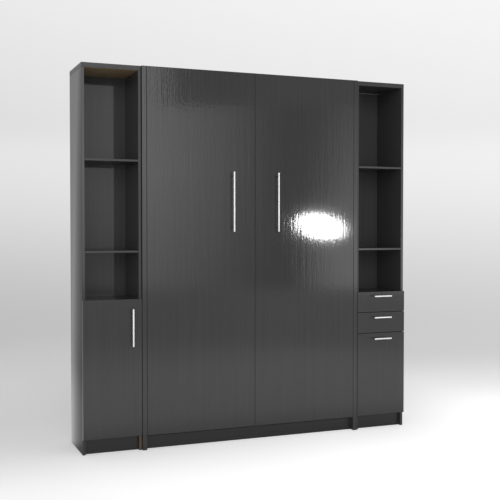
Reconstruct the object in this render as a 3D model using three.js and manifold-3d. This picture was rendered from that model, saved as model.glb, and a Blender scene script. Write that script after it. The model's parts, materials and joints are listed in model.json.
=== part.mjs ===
// A fold-down wall bed between two narrow towers, closed against the wall.
// Millimetres. +X runs to the right, +Y to the wall, +Z up. The origin is on the floor,
// at the middle of the overall box. The bed, its leg, the door and the drawers are shown closed.
import * as THREE from "three";
import { mergeVertices } from "three/addons/utils/BufferGeometryUtils.js";
import Module from "manifold-3d";

const wasm = await Module();
wasm.setup();

// Overall size
const HEIGHT = 2300;
const MAIN_WIDTH = 1456;
const TOWER_WIDTH = 358;
const DEPTH = 370;

// Boards
const STILE = 28;
const TOP = 28;
const TOP_BEHIND_FACE = 4;
const SIDE = 18;
const SHELF = 13;
const FRONT = 16;
const FACE = 18;
const BACK = 8;
const RAIL = 18;
const ARRIS = 0.8;

// Clearances, and how far the members of one welded or glued piece run into each other
const FIT = 0.3;
const FRONT_REST = 0.6;
const FRONT_JOINT = 3;
const FACE_JOINT = 2;
const FACE_SIDE_GAP = 2;
const SWEEP_GAP = 1;
const BITE = 1;

// Heights of the towers' shelves and fronts
const PLINTH = 90;
const PLINTH_BOARD = 16;
const PLINTH_SETBACK = 40;
const FRONTS_BOTTOM = 91;
const FRONTS_TOP = 911;
const FIXED_SHELF_DROP = 2;
const CELL = 529;
const CUPBOARD_SHELF_TOP = 500;
const SHALLOW_FRONT = 135;
const BACK_INSET = 30;

// Bar handles: bars on two posts
const HANDLE_REACH = 35;
const HANDLE_BAR = 10;
const HANDLE_POST = 8;
const HANDLE_EASE = 1;
const BED_HANDLE = { length: 371, posts: 320, height: 1497 };
const BED_HANDLE_SPREAD = 300;
const DOOR_HANDLE = { length: 224, posts: 160, below_top: 169 };
const DOOR_HANDLE_EDGE = 59;
const DRAWER_HANDLE = { length: 128, posts: 96 };
const DRAWER_HANDLE_DROPS = [28, 34.5, 37.5];

// Bed: its face, pivot, frame and mattress
const FACE_BOTTOM = 88;
const PIVOT_HEIGHT = 320;
const PIVOT_DEPTH = 70;
const MATTRESS_SIDE_ROOM = 25;
const MATTRESS_FOOT_ROOM = 170;
const MATTRESS_BELOW_PIVOT = 190;
const MATTRESS_THICKNESS = 200;
const MATTRESS_CORNER = 55;
const MATTRESS_EDGE = 14;
const MATTRESS_WAIST = 6;
const MATTRESS_CROWN = 5;
const FRAME_HEIGHT = 40;
const FRAME_TUBE = 25;
const FRAME_OVERHANG = 2;
const FRAME_BELOW_PIVOT = 221;
const FRAME_FOOT_GAP = 50;
const CROSS_BARS = 3;
const CROSS_TUBE = 25;
const SLATS = 13;
const SLAT_WIDTH = 68;
const SLAT_THICKNESS = 8;
const SLAT_BOW = 6;
const SLAT_STRIP = { width: 14, height: 8, from_rail: 20, overrun: 10 };
const SLAT_PLAY = 2;
const STRAP = { width: 45, thickness: 2, bend: 14, from_pivot: 430 };

// Bed hardware
const PLATE = 3;
const LEVER = 5;
const PIVOT_PIN = 16;
const PIN_SHOULDER = 24;
const RUNNING = 0.4;
const PLATE_OUTLINE = { foot_room: 8, head: 26, ear: 20 };
const PLATE_EAR = [20, 70];
const PLATE_SCREWS = [[-18, 26], [18, -26], [62, 150]];
const SCREW_HEAD = { radius: 5, rise: 1.2, ease: 0.8, sides: 12 };
const LEVER_OUTLINE = { pivot: 22, strut: 15, weld: 16, weld_up: 60, weld_down: 170, stud: 9 };
const STRUT = { cylinder: 18, rod: 8, eye: 24, eye_thickness: 8, bolt: 10, shank: 20, head: 6, engaged: 25 };
const STRUT_STUD = { end: 2, collar: 3 };
const STRUT_NUT = { radius: 7, rise: 2.5 };
const STRUT_LEVER = 80;
const STRUT_LEAN = 25;
const STRUT_TOP = 275;
const STRUT_CYLINDER = 215;
const LEG_PIVOT_BACK = 90;
const LEG_BAR = 25;
const LEG_ARM = 16;
const LEG_FOOT = { diameter: 28, length: 70, from_edge: 90 };
const LEG_FLOOR_GAP = 1.5;
const LEG_FACE_GAP = 8;
const LEG_PIN = 12;
const LEG_PIN_HEAD = { radius: 10, cap: 2 };
const LEG_EYE_RIM = 1.5;
const LEG_CROTCH = 12;

// Fixings at the wall
const WALL_RAIL = 150;
const HEADBOARD = { bottom: 480, height: 420 };
const LOW_RAIL = { bottom: 60, height: 140 };

// Drawer boxes and their runners, and the door's hinges
const BOX_WALL = 12;
const BOX_BOTTOM = 6;
const BOX_REBATE = 6;
const BOX_LENGTH = 290;
const BOX_RISE = 22;
const BOX_HEIGHTS = [85, 90, 430];
const RUNNER = { gap: 13, height: 34, reach: 10, steel: 1.5, slack: 0.4, above_box: 30 };
const RUNNER_RUN = { from_front: 2, length: 280, drawer_shorter: 4 };
const HINGE = { from_end: 95, cup: 35, cup_depth: 11.5, cup_wall: 1.2, cup_from_edge: 38, nose: 3.2 };
const HINGE_ARM = { length: 60, width: 13, depth: 13, knuckle: 9, neck: 12, tail: 4 };
const HINGE_PLATE = { steel: 4, height: 32, from_nose: 16 };
const HINGE_FLANGE = { from: 4, to: 17, height: 60, steel: 1.2 };
const HINGE_LINK = { width: 14, height: 10 };

// Places worked out from the sizes
const WIDTH = MAIN_WIDTH + 2 * TOWER_WIDTH;
const FRONT_Y = HANDLE_REACH - (DEPTH + HANDLE_REACH) / 2;
const BACK_Y = FRONT_Y + DEPTH;
const CARCASS_Y = FRONT_Y + FRONT + FRONT_REST;
const MAIN_HALF = MAIN_WIDTH / 2;
const NICHE_HALF = MAIN_HALF - STILE;
const UNDER_TOP = HEIGHT - TOP;
const PIVOT_Y = FRONT_Y + PIVOT_DEPTH;
const FACE_INNER_Y = FRONT_Y + FACE;
const FRAME_Y = FACE_INNER_Y + FIT;
const FRAME_TOP_Y = FRAME_Y + FRAME_HEIGHT;
const MATTRESS_HALF = NICHE_HALF - MATTRESS_SIDE_ROOM;
const MATTRESS_HEAD_Z = PIVOT_HEIGHT - MATTRESS_BELOW_PIVOT;
const MATTRESS_FOOT_Z = HEIGHT - MATTRESS_FOOT_ROOM;
const FRAME_HALF = MATTRESS_HALF + FRAME_OVERHANG;
const FRAME_FOOT_Z = HEIGHT - FRAME_FOOT_GAP;
const FRAME_HEAD_Z = PIVOT_HEIGHT - FRAME_BELOW_PIVOT;
const SHELF_BACK_Y = BACK_Y - BACK_INSET - BACK;

// Finishes
const finish = (color, roughness, metalness = 0) =>
  new THREE.MeshStandardMaterial({ color, roughness, metalness });
const LAMINATE = finish(0x454547, 0.3);
const CARCASS = finish(0x3c3c3e, 0.4);
const LINER = finish(0x4a3a2a, 0.5);
const CHROME = finish(0xf2f2f4, 0.18, 0.9);
const STEEL = finish(0x2b2c2e, 0.45, 0.6);
const ZINC = finish(0xa9adb0, 0.35, 0.9);
const BEECH = finish(0xd9bf94, 0.55);
const TICKING = finish(0xe9e7e1, 0.9);
const WEBBING = finish(0x3b3d42, 0.85);
const BOX_BOARD = finish(0xd8d8d6, 0.5);

// Solids and meshes

/** Turns a closed three.js geometry into a solid. */
function solid(geometry) {
  const bare = geometry.clone();
  bare.deleteAttribute("normal");
  bare.deleteAttribute("uv");
  const merged = mergeVertices(bare, 1e-3);
  return new wasm.Manifold(
    new wasm.Mesh({
      numProp: 3,
      vertProperties: new Float32Array(merged.attributes.position.array),
      triVerts: new Uint32Array(merged.index.array),
    }),
  );
}

/** Turns a solid back into a three.js geometry with flat faces. */
function geometryOf(made) {
  const { vertProperties, triVerts } = made.getMesh();
  const indexed = new THREE.BufferGeometry()
    .setAttribute("position", new THREE.BufferAttribute(new Float32Array(vertProperties), 3))
    .setIndex(new THREE.BufferAttribute(new Uint32Array(triVerts), 1));
  const flat = indexed.toNonIndexed();
  flat.computeVertexNormals();
  return flat;
}

/** Joins geometries into one piece. */
function join(...pieces) {
  return geometryOf(pieces.map(solid).reduce((a, b) => a.add(b)));
}

/** Cuts geometries out of a piece. */
function cut(piece, ...tools) {
  return geometryOf(tools.map(solid).reduce((a, b) => a.subtract(b), solid(piece)));
}

/** Names a geometry, gives it a finish and adds it to a group. */
function place(group, name, geometry, material) {
  const mesh = new THREE.Mesh(geometry, material);
  mesh.name = name;
  group.add(mesh);
  return mesh;
}

/** Mirrors a geometry from the left to the right. */
function mirrored(geometry) {
  const turned = geometryOf(solid(geometry));
  const position = turned.attributes.position;
  for (let i = 0; i < position.count; i += 3) {
    const [a, b, c] = [i, i + 2, i + 1].map((k) => [-position.getX(k), position.getY(k), position.getZ(k)]);
    position.setXYZ(i, ...a);
    position.setXYZ(i + 1, ...b);
    position.setXYZ(i + 2, ...c);
  }
  turned.computeVertexNormals();
  return turned;
}

/** Moves a geometry whose own Z is to lie along X, Y or Z; the other two axes follow in order. */
function along(axis, geometry) {
  const basis = {
    x: [new THREE.Vector3(0, 1, 0), new THREE.Vector3(0, 0, 1), new THREE.Vector3(1, 0, 0)],
    y: [new THREE.Vector3(0, 0, 1), new THREE.Vector3(1, 0, 0), new THREE.Vector3(0, 1, 0)],
    z: [new THREE.Vector3(1, 0, 0), new THREE.Vector3(0, 1, 0), new THREE.Vector3(0, 0, 1)],
  }[axis];
  return geometry.applyMatrix4(new THREE.Matrix4().makeBasis(...basis));
}

/** A plain block between two values on each axis. */
function block([x0, x1], [y0, y1], [z0, z1]) {
  const box = new THREE.BoxGeometry(x1 - x0, y1 - y0, z1 - z0);
  return box.translate((x0 + x1) / 2, (y0 + y1) / 2, (z0 + z1) / 2);
}

/** A board between two values on each axis, with the arrises of its two broad faces eased. */
function board(xs, ys, zs, arris = ARRIS) {
  const spans = [xs, ys, zs];
  const sizes = spans.map(([a, b]) => b - a);
  const thin = sizes.indexOf(Math.min(...sizes));
  const [u, v] = [(thin + 1) % 3, (thin + 2) % 3];
  const half = [sizes[u] / 2 - arris, sizes[v] / 2 - arris];
  const outline = new THREE.Shape()
    .moveTo(-half[0], -half[1])
    .lineTo(half[0], -half[1])
    .lineTo(half[0], half[1])
    .lineTo(-half[0], half[1]);
  const geometry = new THREE.ExtrudeGeometry(outline, {
    depth: sizes[thin] - 2 * arris,
    bevelThickness: arris,
    bevelSize: arris,
    bevelSegments: 1,
  });
  geometry.translate(0, 0, arris - sizes[thin] / 2);
  along("xyz"[thin], geometry);
  return geometry.translate(...spans.map(([a, b]) => (a + b) / 2));
}

/** A round bar along an axis, from one value to the other, with eased ends. */
function rod(axis, [from, to], radius, centre, ease = 0, sides = 24) {
  const profile = [
    [0, from],
    [radius - ease, from],
    [radius, from + ease],
    [radius, to - ease],
    [radius - ease, to],
    [0, to],
  ].filter(([r, h], i, all) => i === 0 || r !== all[i - 1][0] || h !== all[i - 1][1]);
  const lathe = new THREE.LatheGeometry(
    profile.map(([r, h]) => new THREE.Vector2(r, h)),
    sides,
  );
  lathe.rotateX(Math.PI / 2);
  return along(axis, lathe).translate(...centre);
}

/** A plate of a Y-Z outline, spread along X between two values. */
function plateX(outline, [x0, x1], curveSegments = 10) {
  const geometry = new THREE.ExtrudeGeometry(outline, {
    depth: x1 - x0,
    bevelEnabled: false,
    curveSegments,
  });
  return along("x", geometry).translate(x0, 0, 0);
}

/** The outline that a tight band makes round a set of circles, each [y, z, radius]. */
function bandOutline(circles, steps = 32) {
  const points = circles.flatMap(([y, z, r]) =>
    Array.from({ length: steps }, (_, k) => {
      const turn = (2 * Math.PI * k) / steps;
      return new THREE.Vector2(y + r * Math.cos(turn), z + r * Math.sin(turn));
    }),
  );
  return new THREE.Shape(convexHull(points));
}

/** The convex hull of points, counter-clockwise. */
function convexHull(points) {
  const sorted = [...points].sort((a, b) => a.x - b.x || a.y - b.y);
  const turn = (o, a, b) => (a.x - o.x) * (b.y - o.y) - (a.y - o.y) * (b.x - o.x);
  const chain = (list) => {
    const kept = [];
    for (const p of list) {
      while (kept.length > 1 && turn(kept.at(-2), kept.at(-1), p) <= 1e-6) kept.pop();
      kept.push(p);
    }
    return kept.slice(0, -1);
  };
  return [...chain(sorted), ...chain(sorted.reverse())];
}

// Handles

/** A bar handle on two posts, standing out from the front plane; its bar runs along X or Z. */
function barHandle(axis, { length, posts }, x, z) {
  const barY = FRONT_Y - HANDLE_REACH + HANDLE_BAR / 2;
  const bar = rod(axis, [-length / 2, length / 2], HANDLE_BAR / 2, [x, barY, z], HANDLE_EASE);
  const post = (offset) => {
    const foot = axis === "x" ? [x + offset, 0, z] : [x, 0, z + offset];
    return rod("y", [barY, FRONT_Y - FIT], HANDLE_POST / 2, foot);
  };
  return join(bar, post(-posts / 2), post(posts / 2));
}

// Cabinet round the bed

function mainCabinet() {
  const group = new THREE.Group();
  const inside = [-NICHE_HALF + FIT, NICHE_HALF - FIT];
  const railY = [BACK_Y - RAIL, BACK_Y];
  const lowSweep = Math.hypot(PIVOT_DEPTH, PIVOT_HEIGHT - FACE_BOTTOM);
  const plinthTop = PIVOT_HEIGHT - lowSweep - SWEEP_GAP;
  const plinthY = FRONT_Y + PLINTH_SETBACK;
  const sideBoard = (xs) => board(xs, [FRONT_Y, BACK_Y], [0, HEIGHT]);
  const topY = [FACE_INNER_Y + TOP_BEHIND_FACE, BACK_Y];
  const railAt = ({ bottom, height }) => board(inside, railY, [bottom, bottom + height]);
  place(group, "main_side_left", sideBoard([-MAIN_HALF, -NICHE_HALF]), LAMINATE);
  place(group, "main_side_right", sideBoard([NICHE_HALF, MAIN_HALF]), LAMINATE);
  place(group, "main_top", board(inside, topY, [UNDER_TOP, HEIGHT]), CARCASS);
  place(group, "main_plinth", board(inside, [plinthY, plinthY + PLINTH_BOARD], [0, plinthTop]), LAMINATE);
  place(group, "wall_rail", railAt({ bottom: UNDER_TOP - FIT - WALL_RAIL, height: WALL_RAIL }), CARCASS);
  place(group, "headboard", railAt(HEADBOARD), LAMINATE);
  place(group, "low_rail", railAt(LOW_RAIL), CARCASS);
  return group;
}

// Fold mechanism on the cabinet's sides. Left pieces are modelled, right ones are their mirror.

// Planes of the left mechanism, from the cabinet's side inwards
const PLATE_X = [-NICHE_HALF + FIT, -NICHE_HALF + FIT + PLATE];
const LEVER_X = [-FRAME_HALF - LEVER, -FRAME_HALF + BITE];
const STRUT_X = -(FRAME_HALF + 10.5);
const STRUT_TOP_POINT = [PIVOT_Y + STRUT_LEVER + STRUT_LEAN, PIVOT_HEIGHT + STRUT_LEVER + STRUT_TOP];
const STRUT_FOOT_POINT = [PIVOT_Y + STRUT_LEVER, PIVOT_HEIGHT - STRUT_LEVER];

function pivotPlate() {
  const [y, z] = STRUT_TOP_POINT;
  const ear = [y + PLATE_EAR[0], z + PLATE_EAR[1]];
  const outline = bandOutline([
    [PIVOT_Y, PIVOT_HEIGHT, PIVOT_DEPTH - FACE - SWEEP_GAP - PLATE_OUTLINE.foot_room],
    [y, z, PLATE_OUTLINE.head],
    [...ear, PLATE_OUTLINE.ear],
  ]);
  const root = PLATE_X[0] + BITE;
  const eyeHalf = STRUT.eye_thickness / 2 + FIT;
  const studEnd = STRUT_X + eyeHalf + STRUT_STUD.end;
  const collar = STRUT.bolt / 2 + STRUT_STUD.collar;
  const stud = rod("x", [root, studEnd], STRUT.bolt / 2, [0, y, z]);
  const shoulder = rod("x", [root, STRUT_X - eyeHalf], collar, [0, y, z]);
  const clip = rod("x", [STRUT_X + eyeHalf, studEnd], collar, [0, y, z]);
  const heads = [...PLATE_SCREWS.map(([back, up]) => [PIVOT_Y + back, PIVOT_HEIGHT + up]), ear];
  const { radius, rise, ease, sides } = SCREW_HEAD;
  const screws = heads.map((at) => rod("x", [root, PLATE_X[1] + rise], radius, [0, ...at], ease, sides));
  return join(plateX(outline, PLATE_X), stud, shoulder, clip, ...screws);
}

function pivotPin() {
  const shaft = [PLATE_X[1] + FIT, -FRAME_HALF + 0.5];
  const shoulder = [PLATE_X[1] + FIT, LEVER_X[0] - FIT];
  const centre = [0, PIVOT_Y, PIVOT_HEIGHT];
  return join(
    rod("x", shaft, PIVOT_PIN / 2, centre, 0.5, 32),
    rod("x", shoulder, PIN_SHOULDER / 2, centre, 0, 32),
  );
}

/** Turns a strut piece that is drawn along +Z from the foot point onto the strut's leaning line. */
function onStrutLine(geometry) {
  const lean = Math.atan2(STRUT_LEAN, STRUT_TOP_POINT[1] - STRUT_FOOT_POINT[1]);
  return geometry.rotateX(-lean).translate(STRUT_X, ...STRUT_FOOT_POINT);
}

function strutLength() {
  return Math.hypot(STRUT_LEAN, STRUT_TOP_POINT[1] - STRUT_FOOT_POINT[1]);
}

function strutEye(z) {
  const half = STRUT.eye_thickness / 2;
  return rod("x", [-half, half], STRUT.eye / 2, [0, 0, z], 0.6, 28);
}

function strutCylinder() {
  const end = strutLength();
  const high = end - STRUT.shank;
  const low = high - STRUT_CYLINDER;
  const barrel = rod("z", [low, high], STRUT.cylinder / 2, [0, 0, 0], 1.5, 28);
  const neck = rod("z", [high - BITE, end], STRUT.eye_thickness / 2 - 0.2, [0, 0, 0], 0, 20);
  const bore = rod("z", [low - BITE, high - STRUT.head], STRUT.rod / 2 + RUNNING, [0, 0, 0], 0, 20);
  const pinHole = rod("x", [-STRUT.eye, STRUT.eye], STRUT.bolt / 2 + RUNNING, [0, 0, end], 0, 28);
  return onStrutLine(cut(join(barrel, neck, strutEye(end)), bore, pinHole));
}

function strutRod() {
  const low = strutLength() - STRUT.shank - STRUT_CYLINDER;
  const stem = rod("z", [0, low + STRUT.engaged], STRUT.rod / 2, [0, 0, 0], 0.5, 20);
  const nutEnd = STRUT.eye_thickness / 2 + STRUT_NUT.rise;
  const nut = rod("x", [0, nutEnd], STRUT_NUT.radius, [0, 0, 0], 0.6, 6).scale(-1, -1, 1);
  return onStrutLine(join(stem, strutEye(0), nut));
}

function mechanism() {
  const group = new THREE.Group();
  const pieces = [
    ["pivot_plate", pivotPlate(), ZINC],
    ["pivot_pin", pivotPin(), ZINC],
    ["strut_cylinder", strutCylinder(), STEEL],
    ["strut_rod", strutRod(), CHROME],
  ];
  for (const [name, geometry, material] of pieces) {
    place(group, name + "_left", geometry, material);
    place(group, name + "_right", mirrored(geometry), material);
  }
  return group;
}

// Bed

/** Lever plate welded to the left side rail: it carries the pivot bore and faces the strut's eye. */
function leverPlate() {
  const railMiddle = FRAME_Y + FRAME_HEIGHT / 2;
  const outline = bandOutline([
    [PIVOT_Y, PIVOT_HEIGHT, LEVER_OUTLINE.pivot],
    [...STRUT_FOOT_POINT, LEVER_OUTLINE.strut],
    [railMiddle, PIVOT_HEIGHT + LEVER_OUTLINE.weld_up, LEVER_OUTLINE.weld],
    [railMiddle, PIVOT_HEIGHT - LEVER_OUTLINE.weld_down, LEVER_OUTLINE.weld],
  ]);
  const studFace = STRUT_X + STRUT.eye_thickness / 2 + FIT;
  const studX = [studFace, LEVER_X[1] - BITE].sort((a, b) => a - b);
  const stud = rod("x", studX, LEVER_OUTLINE.stud, [0, ...STRUT_FOOT_POINT]);
  return join(plateX(outline, LEVER_X), stud);
}

/** Position of the leg's pivot, and of its cross bar when it is folded in. */
const LEG_PIVOT = [FRAME_Y + FRAME_HEIGHT / 2, HEIGHT - LEG_PIVOT_BACK];
const LEG_REACH = LEG_PIVOT_BACK + LEG_FACE_GAP + LEG_BAR / 2;
const LEG_FROM_FLOOR = LEG_FLOOR_GAP + LEG_FOOT.diameter / 2;
const LEG_DROP = LEG_PIVOT[0] - FRONT_Y + PIVOT_HEIGHT - PIVOT_DEPTH - LEG_FROM_FLOOR;
const LEG_ARM_X = [-FRAME_HALF - 2 - LEG_ARM, -FRAME_HALF - 2];

function legPin(side) {
  const outer = LEG_ARM_X[0] - FIT;
  const pin = rod("x", [outer - BITE, -FRAME_HALF + 2 * BITE], LEG_PIN / 2, [0, ...LEG_PIVOT], 0, 24);
  const head = rod("x", [outer - LEG_PIN_HEAD.cap, outer], LEG_PIN_HEAD.radius, [0, ...LEG_PIVOT], 0.6, 24);
  const both = join(pin, head);
  return side < 0 ? both : mirrored(both);
}

function bedFrame() {
  const ys = [FRAME_Y, FRAME_TOP_Y];
  const inner = FRAME_HALF - FRAME_TUBE;
  const zs = [FRAME_HEAD_Z, FRAME_FOOT_Z];
  const rail = block([-FRAME_HALF, -inner], ys, zs);
  const across = [-inner - BITE, inner + BITE];
  const ends = zs.map((z, i) => block(across, ys, i ? [z - FRAME_TUBE, z] : [z, z + FRAME_TUBE]));
  const pitch = (zs[1] - zs[0]) / (CROSS_BARS + 1);
  const bars = Array.from({ length: CROSS_BARS }, (_, k) => {
    const z = zs[0] + pitch * (k + 1);
    const barZ = [z - CROSS_TUBE / 2, z + CROSS_TUBE / 2];
    return block(across, [FRAME_Y, FRAME_Y + CROSS_TUBE], barZ);
  });
  const lever = leverPlate();
  const pivot = [0, PIVOT_Y, PIVOT_HEIGHT];
  const bore = rod("x", [-NICHE_HALF, NICHE_HALF], PIVOT_PIN / 2 + RUNNING, pivot, 0, 32);
  const welded = join(rail, mirrored(rail), ...ends, ...bars, lever, mirrored(lever), legPin(-1), legPin(1));
  return cut(welded, bore);
}

/** One bowed slat across the frame, its middle level with the frame's top. */
function slat(z, half) {
  const ends = FRAME_TOP_Y - SLAT_THICKNESS - SLAT_BOW;
  const radius = (half * half + SLAT_BOW * SLAT_BOW) / (2 * SLAT_BOW);
  const middle = ends + SLAT_BOW - radius;
  const reach = Math.asin(half / radius);
  const outline = new THREE.Shape();
  outline.absarc(middle, 0, radius, -reach, reach, false);
  outline.absarc(middle, 0, radius + SLAT_THICKNESS, reach, -reach, true);
  const sweep = { depth: SLAT_WIDTH, bevelEnabled: false, curveSegments: 8 };
  const bowed = new THREE.ExtrudeGeometry(outline, sweep);
  const turn = new THREE.Matrix4().makeBasis(
    new THREE.Vector3(0, 1, 0),
    new THREE.Vector3(-1, 0, 0),
    new THREE.Vector3(0, 0, 1),
  );
  return bowed.applyMatrix4(turn).translate(0, 0, z - SLAT_WIDTH / 2);
}

function slattedBase() {
  const half = FRAME_HALF - FRAME_TUBE - FIT;
  const endRoom = FRAME_TUBE + SLAT_STRIP.from_rail;
  const stripY = [FRAME_TOP_Y - SLAT_BOW - SLAT_STRIP.height, FRAME_TOP_Y - SLAT_BOW + BITE];
  const zs = [FRAME_HEAD_Z + endRoom, FRAME_FOOT_Z - endRoom];
  const strip = block([-half, -half + SLAT_STRIP.width], stripY, zs);
  const first = zs[0] + SLAT_STRIP.overrun + SLAT_WIDTH / 2;
  const pitch = (zs[1] - SLAT_STRIP.overrun - SLAT_WIDTH / 2 - first) / (SLATS - 1);
  const slats = Array.from({ length: SLATS }, (_, k) => slat(first + pitch * k, half - SLAT_PLAY));
  return join(strip, mirrored(strip), ...slats);
}

/** How far the mattress draws in from its full outline at a height over its base. */
function mattressInset(height, body) {
  const edge = Math.min(height, body - height);
  if (edge < MATTRESS_EDGE) return MATTRESS_EDGE - Math.sqrt(edge * (2 * MATTRESS_EDGE - edge));
  return MATTRESS_WAIST * Math.sin((Math.PI * (edge - MATTRESS_EDGE)) / (body - 2 * MATTRESS_EDGE));
}

/**
 * A mattress as rings: each is a rectangle with round corners, drawn in at the waist and
 * rolled over at both edges, and the upper face rises to a slight crown.
 */
function mattress() {
  const body = MATTRESS_THICKNESS - MATTRESS_CROWN;
  const half = [MATTRESS_HALF, (MATTRESS_FOOT_Z - MATTRESS_HEAD_Z) / 2];
  const cornerSteps = 9;
  const rollSteps = [0, 0.15, 0.45, 0.8].map((share) => share * MATTRESS_EDGE);
  const waist = [body / 4, body / 2, (3 * body) / 4];
  const heights = [...rollSteps, ...waist, ...rollSteps.map((h) => body - h).reverse()];
  const crownRings = [[0.05, 0.5], [0.25, 0.87], [0.6, 1]];
  const rings = heights.map((y) => ({ y, inset: mattressInset(y, body) }));
  for (const [share, rise] of crownRings) {
    rings.push({ y: body + rise * MATTRESS_CROWN, inset: share * MATTRESS_HALF });
  }
  rings[rings.length - 1].y -= ARRIS / 2;
  const perRing = 4 * (cornerSteps + 1);
  const positions = rings.flatMap(({ y, inset }) =>
    Array.from({ length: perRing }, (_, k) => {
      const quarter = Math.floor(k / (cornerSteps + 1));
      const turn = (Math.PI / 2) * (quarter + (k % (cornerSteps + 1)) / cornerSteps);
      const radius = Math.max(MATTRESS_CORNER - inset / 2, MATTRESS_EDGE);
      const [cx, cz] = half.map((h) => h - inset - radius);
      const [sx, sz] = [[1, 1], [-1, 1], [-1, -1], [1, -1]][quarter];
      return [sx * cx + radius * Math.cos(turn), y, sz * cz + radius * Math.sin(turn)];
    }).flat(),
  );
  const last = (rings.length - 1) * perRing;
  positions.push(0, 0, 0, 0, MATTRESS_THICKNESS, 0);
  const [lowCentre, highCentre] = [rings.length * perRing, rings.length * perRing + 1];
  const faces = [];
  for (let k = 0; k < perRing; k += 1) {
    const next = (k + 1) % perRing;
    for (let row = 0; row < rings.length - 1; row += 1) {
      const [low, high] = [row * perRing, (row + 1) * perRing];
      faces.push(low + k, high + k, low + next, low + next, high + k, high + next);
    }
    faces.push(lowCentre, k, next, highCentre, last + next, last + k);
  }
  const geometry = new THREE.BufferGeometry()
    .setAttribute("position", new THREE.Float32BufferAttribute(positions, 3))
    .setIndex(faces);
  geometry.computeVertexNormals();
  return geometry.translate(0, FRAME_TOP_Y + FIT, (MATTRESS_HEAD_Z + MATTRESS_FOOT_Z) / 2);
}

/** A webbing strap over the mattress, down both sides to the frame's rails. */
function mattressStrap() {
  const outerY = FRAME_TOP_Y + FIT + MATTRESS_THICKNESS + FIT + STRAP.thickness;
  const half = MATTRESS_HALF + FIT + STRAP.thickness;
  const low = FRAME_TOP_Y + FIT;
  const outline = (inset) => {
    const path = new THREE.Shape();
    const [w, top, r] = [half - inset, outerY - inset, STRAP.bend - inset];
    path.moveTo(-w, low).lineTo(w, low).lineTo(w, top - r);
    path.absarc(w - r, top - r, r, 0, Math.PI / 2, false);
    path.lineTo(-w + r, top);
    path.absarc(-w + r, top - r, r, Math.PI / 2, Math.PI, false);
    return path;
  };
  const z = PIVOT_HEIGHT + STRAP.from_pivot;
  const solidBand = (shape, [z0, z1]) =>
    new THREE.ExtrudeGeometry(shape, { depth: z1 - z0, bevelEnabled: false, curveSegments: 6 })
      .translate(0, 0, z0);
  const outer = solidBand(outline(0), [z, z + STRAP.width]);
  const across = [z - BITE, z + STRAP.width + BITE];
  const inner = solidBand(outline(STRAP.thickness), across);
  const openEnd = block([STRAP.thickness - half, half - STRAP.thickness], [low - BITE, low + BITE], across);
  return cut(outer, inner, openEnd);
}

/** The folding leg, folded in: two cranked arms and a cross bar with two foot sleeves. */
function footLeg() {
  const [pivotY, pivotZ] = LEG_PIVOT;
  const half = LEG_BAR / 2;
  const elbowZ = pivotZ - LEG_REACH;
  const barY = pivotY + LEG_DROP;
  const outline = new THREE.Shape();
  outline.absarc(pivotY, pivotZ, half + LEG_EYE_RIM, 0, Math.PI, false);
  outline.lineTo(pivotY - half, elbowZ + half);
  outline.absarc(pivotY + half, elbowZ + half, LEG_BAR, Math.PI, 1.5 * Math.PI, false);
  outline.lineTo(barY, elbowZ - half);
  outline.absarc(barY, elbowZ, half, -Math.PI / 2, Math.PI / 2, false);
  outline.lineTo(pivotY + half + LEG_CROTCH, elbowZ + half);
  const crotch = [pivotY + half + LEG_CROTCH, elbowZ + half + LEG_CROTCH];
  outline.absarc(...crotch, LEG_CROTCH, -Math.PI / 2, Math.PI, true);
  const arm = cut(
    plateX(outline, LEG_ARM_X, 12),
    rod("x", [LEG_ARM_X[0] - BITE, LEG_ARM_X[1] + BITE], LEG_PIN / 2 + RUNNING, [0, ...LEG_PIVOT], 0, 24),
  );
  const bar = rod("x", [LEG_ARM_X[1] - BITE, -LEG_ARM_X[1] + BITE], half, [0, barY, elbowZ], 0, 20);
  const reach = LEG_FOOT.length / 2;
  const sleeve = (x) => rod("x", [x - reach, x + reach], LEG_FOOT.diameter / 2, [0, barY, elbowZ], 1, 20);
  const spread = MATTRESS_HALF - LEG_FOOT.from_edge;
  return join(arm, mirrored(arm), bar, sleeve(-spread), sleeve(spread));
}

function bed() {
  const group = new THREE.Group();
  const faceEdge = NICHE_HALF - FACE_SIDE_GAP;
  const faceY = [FRONT_Y, FACE_INNER_Y];
  const faceZ = [FACE_BOTTOM, HEIGHT];
  place(group, "bed_face_left", board([-faceEdge, -FACE_JOINT / 2], faceY, faceZ), LAMINATE);
  place(group, "bed_face_right", board([FACE_JOINT / 2, faceEdge], faceY, faceZ), LAMINATE);
  for (const [name, side] of [["left", -1], ["right", 1]]) {
    const x = (side * BED_HANDLE_SPREAD) / 2;
    place(group, "bed_handle_" + name, barHandle("z", BED_HANDLE, x, BED_HANDLE.height), CHROME);
  }
  place(group, "bed_frame", bedFrame(), STEEL);
  place(group, "slatted_base", slattedBase(), BEECH);
  place(group, "mattress", mattress(), TICKING);
  place(group, "mattress_strap", mattressStrap(), WEBBING);
  place(group, "foot_leg", footLeg(), STEEL);
  return group;
}

// Towers

const TOWER_INNER_X = MAIN_HALF + SIDE;
const TOWER_OUTER_X = WIDTH / 2;
const UPPER_SHELF_TOP = UNDER_TOP - CELL;
const LOWER_SHELF_TOP = UPPER_SHELF_TOP - SHELF - CELL;
const FIXED_SHELF_TOP = FRONTS_TOP - FIXED_SHELF_DROP;

/** One cabinet half of a runner pair: a channel on the tower's side, open towards the drawer. */
function cabinetRunner(wallX, inward, z, steel = RUNNER.steel) {
  const half = RUNNER.height / 2;
  const from = CARCASS_Y + RUNNER_RUN.from_front;
  const ys = [from, from + RUNNER_RUN.length];
  const xs = (a, b) => [wallX + inward * a, wallX + inward * b].sort((p, q) => p - q);
  return [
    block(xs(-BITE, steel), ys, [z - half, z + half]),
    block(xs(0, RUNNER.reach), ys, [z - half, z - half + steel]),
    block(xs(0, RUNNER.reach), ys, [z + half - steel, z + half]),
  ];
}

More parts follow.
